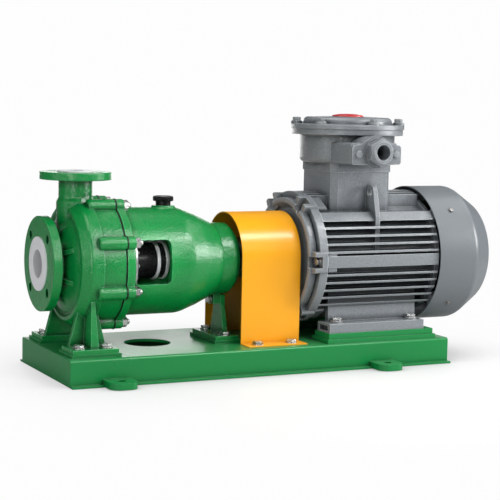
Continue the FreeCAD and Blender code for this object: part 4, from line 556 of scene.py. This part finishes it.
def lathe(name, line, around=48, closed=False, grip=0.0, grips=0):
    """Mesh turned about Z from (radius, height), (radius, height, flat) or (radius, height, GRIP) points."""
    mesh = bmesh.new()
    rings = []
    for radius, height, *flat in line:
        if radius == 0.0:
            rings.append([mesh.verts.new((0, 0, height))])
            continue
        ring = []
        for index in range(around):
            turn = 2 * math.pi * index / around
            reach = radius
            if flat and flat[0] == GRIP:
                reach = radius - grip * (0.5 + 0.5 * math.cos(turn * grips)) ** 3
            elif flat:
                reach = min(radius, flat[0] / math.cos((turn + math.pi / 6) % (math.pi / 3) - math.pi / 6))
            ring.append(mesh.verts.new((reach * math.cos(turn), reach * math.sin(turn), height)))
        rings.append(ring)
    for first, second in zip(rings, rings[1:] + (rings[:1] if closed else [])):
        for index in range(around):
            after = (index + 1) % around
            corners = [first[index % len(first)], first[after % len(first)],
                       second[after % len(second)], second[index % len(second)]]
            mesh.faces.new(list(dict.fromkeys(corners)))
    bmesh.ops.recalc_face_normals(mesh, faces=mesh.faces)
    data = bpy.data.meshes.new(name)
    mesh.to_mesh(data)
    mesh.free()
    return data


def threads(radius, low, high, pitch):
    """Points of a thread: ridges between two heights."""
    count = int((high - low) / pitch)
    return [(radius - (0.28 * pitch if index % 2 else 0.0), low + (high - low) * index / (2 * count))
            for index in range(2 * count + 1)]


def turned_corners(flat):
    """Radius and rise of the cone that turns the corners off a hexagon, from its flats outwards."""
    radii = (flat * 0.96, flat, flat * 1.06, flat / math.cos(math.pi / 6))
    return [(radius, (radius - flat * 0.94) * 0.5) for radius in radii]


def bolt_line(bolt, washer=0.0, dome=0.0):
    """Line of a bolt from the tip of its shank to the top of its head, with a washer under it."""
    flat, head, shank = bolt["flat"], bolt["head"], bolt["shank"]
    corner = flat / math.cos(math.pi / 6)
    line = [(0.0, -bolt["length"]), (shank * 0.85, -bolt["length"]), (shank, -bolt["length"] + shank * 0.15),
            (shank, 0.0)]
    if washer:
        line += [(corner * 1.12, 0.0), (corner * 1.16, washer * 0.25), (corner * 1.16, washer * 0.75),
                 (corner * 1.1, washer)]
    line += [(flat * 0.93, washer), (flat * 0.95, washer + head * 0.05)]
    cone = turned_corners(flat)
    line += [(r, washer + head * 0.05 + rise * 0.4, flat) for r, rise in cone]
    line += [(r, head - rise - dome * 0.4, flat) for r, rise in reversed(cone)]
    line += [(flat * 0.93, head - dome * 0.3), (flat * 0.5, head - dome * 0.1), (0.0, head)]
    return line


print("lathe ready, a casing foot bolt has", len(bolt_line(sample, 0.002)), "rings")

# %% [markdown]
# Geometry Nodes place the finished fastener on every seat. The tree takes points that carry the facing
# direction, stands one copy of the part on each, gives it its own chance turn about its axis, as a fitter's
# spanner leaves it, and makes one mesh of all. The turn comes from a fixed seed.

# %% Geometry Nodes placing
def placing_tree():
    """Tree that stands a copy of a part on each point."""
    tree = bpy.data.node_groups.new("stand_on_seats", "GeometryNodeTree")
    for name, kind in (("Seats", "NodeSocketGeometry"), ("Part", "NodeSocketObject"),
                       ("Finish", "NodeSocketMaterial"), ("Turn", "NodeSocketFloat"),
                       ("Seed", "NodeSocketInt")):
        tree.interface.new_socket(name, in_out="INPUT", socket_type=kind)
    tree.interface.new_socket("Fasteners", in_out="OUTPUT", socket_type="NodeSocketGeometry")
    add = tree.nodes.new
    start, end = add("NodeGroupInput"), add("NodeGroupOutput")
    facing = add("GeometryNodeInputNamedAttribute")
    facing.data_type = "FLOAT_VECTOR"
    facing.inputs["Name"].default_value = "facing"
    align = add("FunctionNodeAlignRotationToVector")
    chance = add("FunctionNodeRandomValue")
    spin = add("FunctionNodeAxisAngleToRotation")
    both = add("FunctionNodeRotateRotation")
    both.rotation_space = "LOCAL"
    part, stand = add("GeometryNodeObjectInfo"), add("GeometryNodeInstanceOnPoints")
    real, coat = add("GeometryNodeRealizeInstances"), add("GeometryNodeSetMaterial")
    chance.inputs[2].default_value = 0.0
    for source, target in ((facing.outputs["Attribute"], align.inputs["Vector"]),
                           (start.outputs["Turn"], chance.inputs[3]),
                           (start.outputs["Seed"], chance.inputs["Seed"]),
                           (chance.outputs[1], spin.inputs["Angle"]),
                           (align.outputs[0], both.inputs["Rotation"]),
                           (spin.outputs[0], both.inputs["Rotate By"]),
                           (start.outputs["Part"], part.inputs["Object"]),
                           (start.outputs["Seats"], stand.inputs["Points"]),
                           (part.outputs["Geometry"], stand.inputs["Instance"]),
                           (both.outputs[0], stand.inputs["Rotation"]),
                           (stand.outputs[0], real.inputs[0]),
                           (real.outputs[0], coat.inputs["Geometry"]),
                           (start.outputs["Finish"], coat.inputs["Material"]),
                           (coat.outputs[0], end.inputs[0])):
        tree.links.new(source, target)
    return tree


PLACING = placing_tree()
LARGEST_TURN = math.pi / 3  # a hexagon looks the same after a sixth of a turn


def link(name, mesh):
    made = bpy.data.objects.new(name, mesh)
    bpy.context.scene.collection.objects.link(made)
    return made


def stand_on_seats(name, part_mesh, places, finish, seed):
    """One mesh with a copy of the part on each (seat, facing) place."""
    seats = bpy.data.meshes.new(name + "_seats")
    seats.from_pydata([seat for seat, facing in places], [], [])
    directions = seats.attributes.new("facing", "FLOAT_VECTOR", "POINT")
    for index, (seat, facing) in enumerate(places):
        directions.data[index].vector = facing
    carrier, part = link(name + "_carrier", seats), link(name + "_part", part_mesh)
    placed = carrier.modifiers.new("placing", "NODES")
    placed.node_group = PLACING
    inputs = {item.name: item.identifier for item in PLACING.interface.items_tree if item.in_out == "INPUT"}
    for label, value in (("Part", part), ("Finish", finish), ("Turn", LARGEST_TURN), ("Seed", seed)):
        placed[inputs[label]] = value
    bpy.context.view_layer.update()
    ready = carrier.evaluated_get(bpy.context.evaluated_depsgraph_get())
    mesh = bpy.data.meshes.new_from_object(ready)
    for used in (carrier, part):
        bpy.data.objects.remove(used)
    return mesh


def add_piece(name, mesh, finish, body, slot_name, *replaced):
    """Put a finished mesh into the scene as a piece that rides on a body."""
    mesh.name = name
    if finish not in list(mesh.materials):
        mesh.materials.clear()
        mesh.materials.append(finish)
    made = link(name, mesh)
    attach(made, body)
    if replaced:
        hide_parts(*replaced)


print("placing tree has", len(PLACING.nodes), "nodes")

# %% [markdown]
# The foot bolts get broad washers, and the screws of gland, bearing cover and cowl have none. The bolts of
# the terminal box were painted over with it, so they share its grey. Bolts of one node can come in several
# sizes, and each size is turned once. The dome is how far the middle of a head stands above its corners.

# %% Bolts
# node, finish, material slot, thickness of the washer, dome of the head
BOLTS = [("pump_foot_bolts", zinc_steel, "zinc_steel", 0.0022, 0.0),
         ("support_bolts", zinc_steel, "zinc_steel", 0.0018, 0.0),
         ("guard_bolts", zinc_steel, "zinc_steel", 0.0018, 0.0),
         ("motor_foot_bolts", zinc_steel, "zinc_steel", 0.0024, 0.001),
         ("end_cover_screws", zinc_steel, "zinc_steel", 0.0, 0.0),
         ("gland_screws", zinc_steel, "zinc_steel", 0.0, 0.0005),
         ("end_shield_bolts", zinc_steel, "zinc_steel", 0.0014, 0.0),
         ("cowl_screws", dull_steel, "zinc_steel", 0.0, 0.0012),
         ("lid_bolts", grey_bolt, "grey_enamel", 0.0022, 0.0008),
         ("gland_bolts", grey_bolt, "grey_enamel", 0.0, 0.0016)]
for number, (name, finish, slot_name, washer, dome) in enumerate(BOLTS):
    kinds = {}
    for points in solids_of(name):
        bolt = read_bolt(points, facing_of(name, points))
        kinds.setdefault((round(bolt["flat"], 4), round(bolt["length"], 3)), []).append(bolt)
    joined = bmesh.new()
    for bolts in kinds.values():
        part = lathe(name + "_one", bolt_line(bolts[0], washer, dome))
        joined.from_mesh(stand_on_seats(name, part, [(b["seat"], b["facing"]) for b in bolts], finish,
                                        seed=number))
    whole = bpy.data.meshes.new(name + "_fine")
    joined.to_mesh(whole)
    joined.free()
    add_piece("fine_" + name, whole, finish, "skid", slot_name, name)
    print(name, "made again:", sum(len(b) for b in kinds.values()), "faces", len(whole.polygons))

# %% [markdown]
# The studs of the casing show their threaded tips behind the nuts. The tip is turned down to a short
# point, and the thread is a row of ridges. Each nut is turned off on both its faces.

# %% Studs and nuts
STUD_SEED, NUT_SEED = 21, 22
stud_points = solids_of("casing_studs")
stud = read_bolt(stud_points[0], ALONG)
stud_ends = []
for points in stud_points:
    tip = max(p.x for p in points)
    middle = sum(points, Vector()) / len(points)
    stud_ends.append((Vector((tip, middle.y, middle.z)), ALONG))
stud_length = max(p.x for p in stud_points[0]) - min(p.x for p in stud_points[0])
stud_radius = stud["shank"]
stud_line = [(0.0, -stud_length), (stud_radius * 0.8, -stud_length), (stud_radius, -stud_length + 0.0012)]
stud_line += threads(stud_radius, -0.022, -0.0022, 0.0016)
stud_line += [(stud_radius * 0.82, -0.0008), (stud_radius * 0.7, 0.0), (0.0, 0.0)]
studs = stand_on_seats("studs", lathe("stud", stud_line, 32), stud_ends, zinc_steel, seed=STUD_SEED)
add_piece("fine_casing_studs", studs, zinc_steel, "skid", "zinc_steel", "casing_studs")

nut_places, nut = [], None
for points in solids_of("casing_nuts"):
    nut = read_bolt(points, ALONG)
    nut_places.append((nut["seat"], ALONG))
bore, flat, tall = stud_radius * 1.01, nut["flat"], nut["head"]
cone = turned_corners(flat)
nut_line = [(bore, 0.0), (flat * 0.93, 0.0)]
nut_line += [(r, rise, flat) for r, rise in cone]
nut_line += [(r, tall - rise, flat) for r, rise in reversed(cone)]
nut_line += [(flat * 0.93, tall), (bore * 1.12, tall), (bore, tall - 0.0008)]
nuts = stand_on_seats("nuts", lathe("nut", nut_line, closed=True), nut_places, zinc_steel, seed=NUT_SEED)
add_piece("fine_casing_nuts", nuts, zinc_steel, "skid", "zinc_steel", "casing_nuts")
print("studs", len(stud_ends), "nuts", len(nut_places), "faces", len(studs.polygons) + len(nuts.polygons))

# %% [markdown]
# The oil filler cap has a grip of fine grooves round its rim, a waist and a push-in plug. The same lathe
# makes it, with its grooved rings on the rim.

# %% Oil filler cap
low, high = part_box("oil_filler_cap")
middle = (low + high) / 2
rim = (high.x - low.x) / 2
neck, plug = rim * 0.73, rim * 0.43
PLUG_DEPTH, GRIP_HEIGHT, GROOVE_DEPTH, GROOVES = 0.0158, 0.0105, 0.0011, 48
tall = high.z - low.z
under = tall - GRIP_HEIGHT
cap_line = [(0.0, 0.0), (plug * 0.8, 0.0), (plug, 0.001), (plug, PLUG_DEPTH), (neck * 0.94, PLUG_DEPTH),
            (neck, PLUG_DEPTH + 0.0008), (neck, under - 0.0006), (rim - 0.0026, under),
            (rim - 0.0008, under + 0.0006, GRIP), (rim, under + 0.0016, GRIP), (rim, tall - 0.0026, GRIP),
            (rim - 0.0007, tall - 0.0012, GRIP), (rim - 0.0022, tall - 0.0003), (rim - 0.0045, tall),
            (rim - 0.006, tall - 0.0006), (0.0, tall - 0.0006)]
cap = lathe("cap", cap_line, GROOVES * 4, grip=GROOVE_DEPTH, grips=GROOVES)
cap.transform(Matrix.Translation((middle.x, middle.y, low.z)))
add_piece("grooved_filler_cap", cap, black_plastic, "filler_cap", "black_plastic", "oil_filler_cap")
print("filler cap faces", len(cap.polygons), "height", round(tall, 4))

# %% [markdown]
# The set stands on a plain pale floor. Seen by the camera it is nearly white and keeps only the soft
# shadow, which is strongest under the base. Close to the set a painted shadow darkens the floor's colour
# as well, from the ambient light that reaches the floor. Further out the floor turns into the white of
# the room, so that no horizon shows: the share of plain white grows with the distance from the middle of
# the set. In the metal and the enamel the floor is mirrored dimmer than it is, because a bright floor
# would wash out the colours of the low parts.

# %% Floor
WHITE = 0.985  # brightness of floor and room to the camera
FLOOR_HALF, FLOOR_DROP = 14.0, 0.0006
CONTACT_REACH = 0.13  # how far from the set the floor is darkened
CENTRE_SHIFT = (-0.14, 0.12, 0.0)
FADE_FROM, FADE_TO, NEAR_WHITE = 0.34, 0.8, 0.42
MIRROR_GREY, MIRROR_SHARE = 0.1, 0.55


def pale_floor():
    finish = Finish("pale_floor", Roughness=0.5)
    grain = finish.noise(3.0, 2.0)
    paper = finish.mix(grain, display(221, 221, 221), display(225, 225, 225))
    open_air = finish.node("ShaderNodeAmbientOcclusion", {"samples": 8}, {"Distance": CONTACT_REACH}, "AO")
    # painted shadow: the floor's colour turns darker close to the set
    finish.colour(finish.mix(finish.window(open_air, 0.3, 1.0), display(90, 90, 90), paper))
    middle = finish.node("ShaderNodeMapping", None, {"Vector": finish.place, "Location": CENTRE_SHIFT})
    distance = finish.node("ShaderNodeVectorMath", {"operation": "LENGTH"}, {0: middle}, "Value")
    far = finish.window(distance, FADE_FROM, FADE_TO)
    eye = finish.node("ShaderNodeLightPath", output="Is Camera Ray")
    glossy = finish.node("ShaderNodeLightPath", output="Is Glossy Ray")
    glow, dim = [finish.node("ShaderNodeEmission", None, {"Color": (grey, grey, grey, 1.0), "Strength": 1.0})
                 for grey in (WHITE, MIRROR_GREY)]
    plain = Amount(finish, finish.shader.outputs[0])
    mirrored = finish.node("ShaderNodeMixShader", None, {0: glossy * MIRROR_SHARE, 1: plain, 2: dim})
    white_share = eye * finish.shades(far, NEAR_WHITE, 1.0)
    seen = finish.node("ShaderNodeMixShader", None, {0: white_share, 1: mirrored, 2: glow})
    finish.feed(finish.tree.nodes["Material Output"].inputs["Surface"], seen)
    return finish.material


ground = bpy.data.meshes.new("floor")
ground.from_pydata([(x * FLOOR_HALF, y * FLOOR_HALF, -FLOOR_DROP)
                    for x, y in ((-1, -1), (1, -1), (1, 1), (-1, 1))], [], [(0, 1, 2, 3)])
ground.materials.append(pale_floor())
floor = link("floor", ground)
print("floor at", round(ground.vertices[0].co.z, 4))

# %% [markdown]
# The light is that of a studio. A large soft box overhead lights the level faces and one behind the set
# its far edges. Four boxes from the front and the sides draw the highlights on the round castings: a key
# light high at the front right, one on the front, one low at the right for the shoulders, and a tall
# narrow strip at the front left, which gives the long bright lines. Two weaker ones fill from left and
# right. A small spot reaches the seal through the window of the bracket, where no box can shine. No lamp
# shows itself to the camera.

# %% Lamps
# name, place, target, size, watts
SOFT_BOXES = [("top_light", (-0.3, 0.1, 2.3), (0.0, 0.0, 0.2), (2.2, 1.0), 26.0),
              ("key_light", (1.0, -1.35, 1.95), (-0.05, 0.0, 0.22), (0.85, 0.45), 28.0),
              ("front_light", (0.5, -2.6, 1.3), (0.0, 0.0, 0.22), (1.0, 0.6), 18.0),
              ("strip_light", (-1.75, -2.1, 0.9), (0.0, 0.0, 0.25), (0.22, 1.5), 16.0),
              ("left_light", (-2.4, -0.5, 1.0), (-0.2, 0.0, 0.22), (0.6, 1.2), 11.0),
              ("right_light", (1.8, 0.0, 2.0), (-0.1, 0.0, 0.25), (1.3, 1.0), 10.0),
              ("shoulder_light", (1.9, -0.95, 0.8), (0.0, 0.0, 0.25), (0.75, 0.75), 29.0),
              ("back_light", (0.7, 2.1, 0.42), (0.0, 0.0, 0.2), (2.2, 0.5), 7.0)]
WINDOW_PLACE, WINDOW_TARGET, WINDOW_WATTS = (-0.42, -0.85, 0.42), (-0.196, -0.07, 0.225), 40.0
WINDOW_CONE, WINDOW_BLUR, WINDOW_RADIUS = math.radians(6.0), 0.4, 0.05


def aim(light, place, target):
    """Hang a lamp at a place and turn it to its target."""
    lamp = link(light.name, light)
    lamp.location = place
    lamp.rotation_euler = (Vector(target) - Vector(place)).to_track_quat("-Z", "Y").to_euler()
    return lamp


for name, place, target, size, watts in SOFT_BOXES:
    light = bpy.data.lights.new(name, "AREA")
    light.shape = "RECTANGLE"
    light.size, light.size_y = size
    light.energy = watts
    aim(light, place, target).visible_camera = False

spot = bpy.data.lights.new("window_light", "SPOT")
spot.energy, spot.spot_size = WINDOW_WATTS, WINDOW_CONE
spot.spot_blend, spot.shadow_soft_size = WINDOW_BLUR, WINDOW_RADIUS
aim(spot, WINDOW_PLACE, WINDOW_TARGET)

# %% [markdown]
# The room round the set is dim as a source of light, dimmer still in the mirror of the metal, so that the
# soft boxes stand out there, and nearly pure white for the camera. Two mix shaders choose between the
# three by the kind of ray that looks.

# %% Room
ROOM_LIGHT, ROOM_MIRRORED = 0.18, 0.1
room = bpy.data.worlds.new("white_room")
room.use_nodes = True
bpy.context.scene.world = room
tree = room.node_tree
tree.nodes.remove(tree.nodes["Background"])


def background(strength):
    """White background of one strength."""
    made = tree.nodes.new("ShaderNodeBackground")
    made.inputs["Color"].default_value = (1.0, 1.0, 1.0, 1.0)
    made.inputs["Strength"].default_value = strength
    return made.outputs[0]


def chosen_by(ray, otherwise, shown):
    """The second shader for one kind of ray, the first for the others."""
    made = tree.nodes.new("ShaderNodeMixShader")
    for socket, source in zip(made.inputs, (path.outputs[ray], otherwise, shown)):
        tree.links.new(source, socket)
    return made.outputs[0]


path = tree.nodes.new("ShaderNodeLightPath")
lit = chosen_by("Is Glossy Ray", background(ROOM_LIGHT), background(ROOM_MIRRORED))
seen_room = chosen_by("Is Camera Ray", lit, background(WHITE))
tree.links.new(seen_room, tree.nodes["World Output"].inputs["Surface"])
bpy.context.scene.view_settings.view_transform = "Standard"
print("room nodes:", len(tree.nodes))
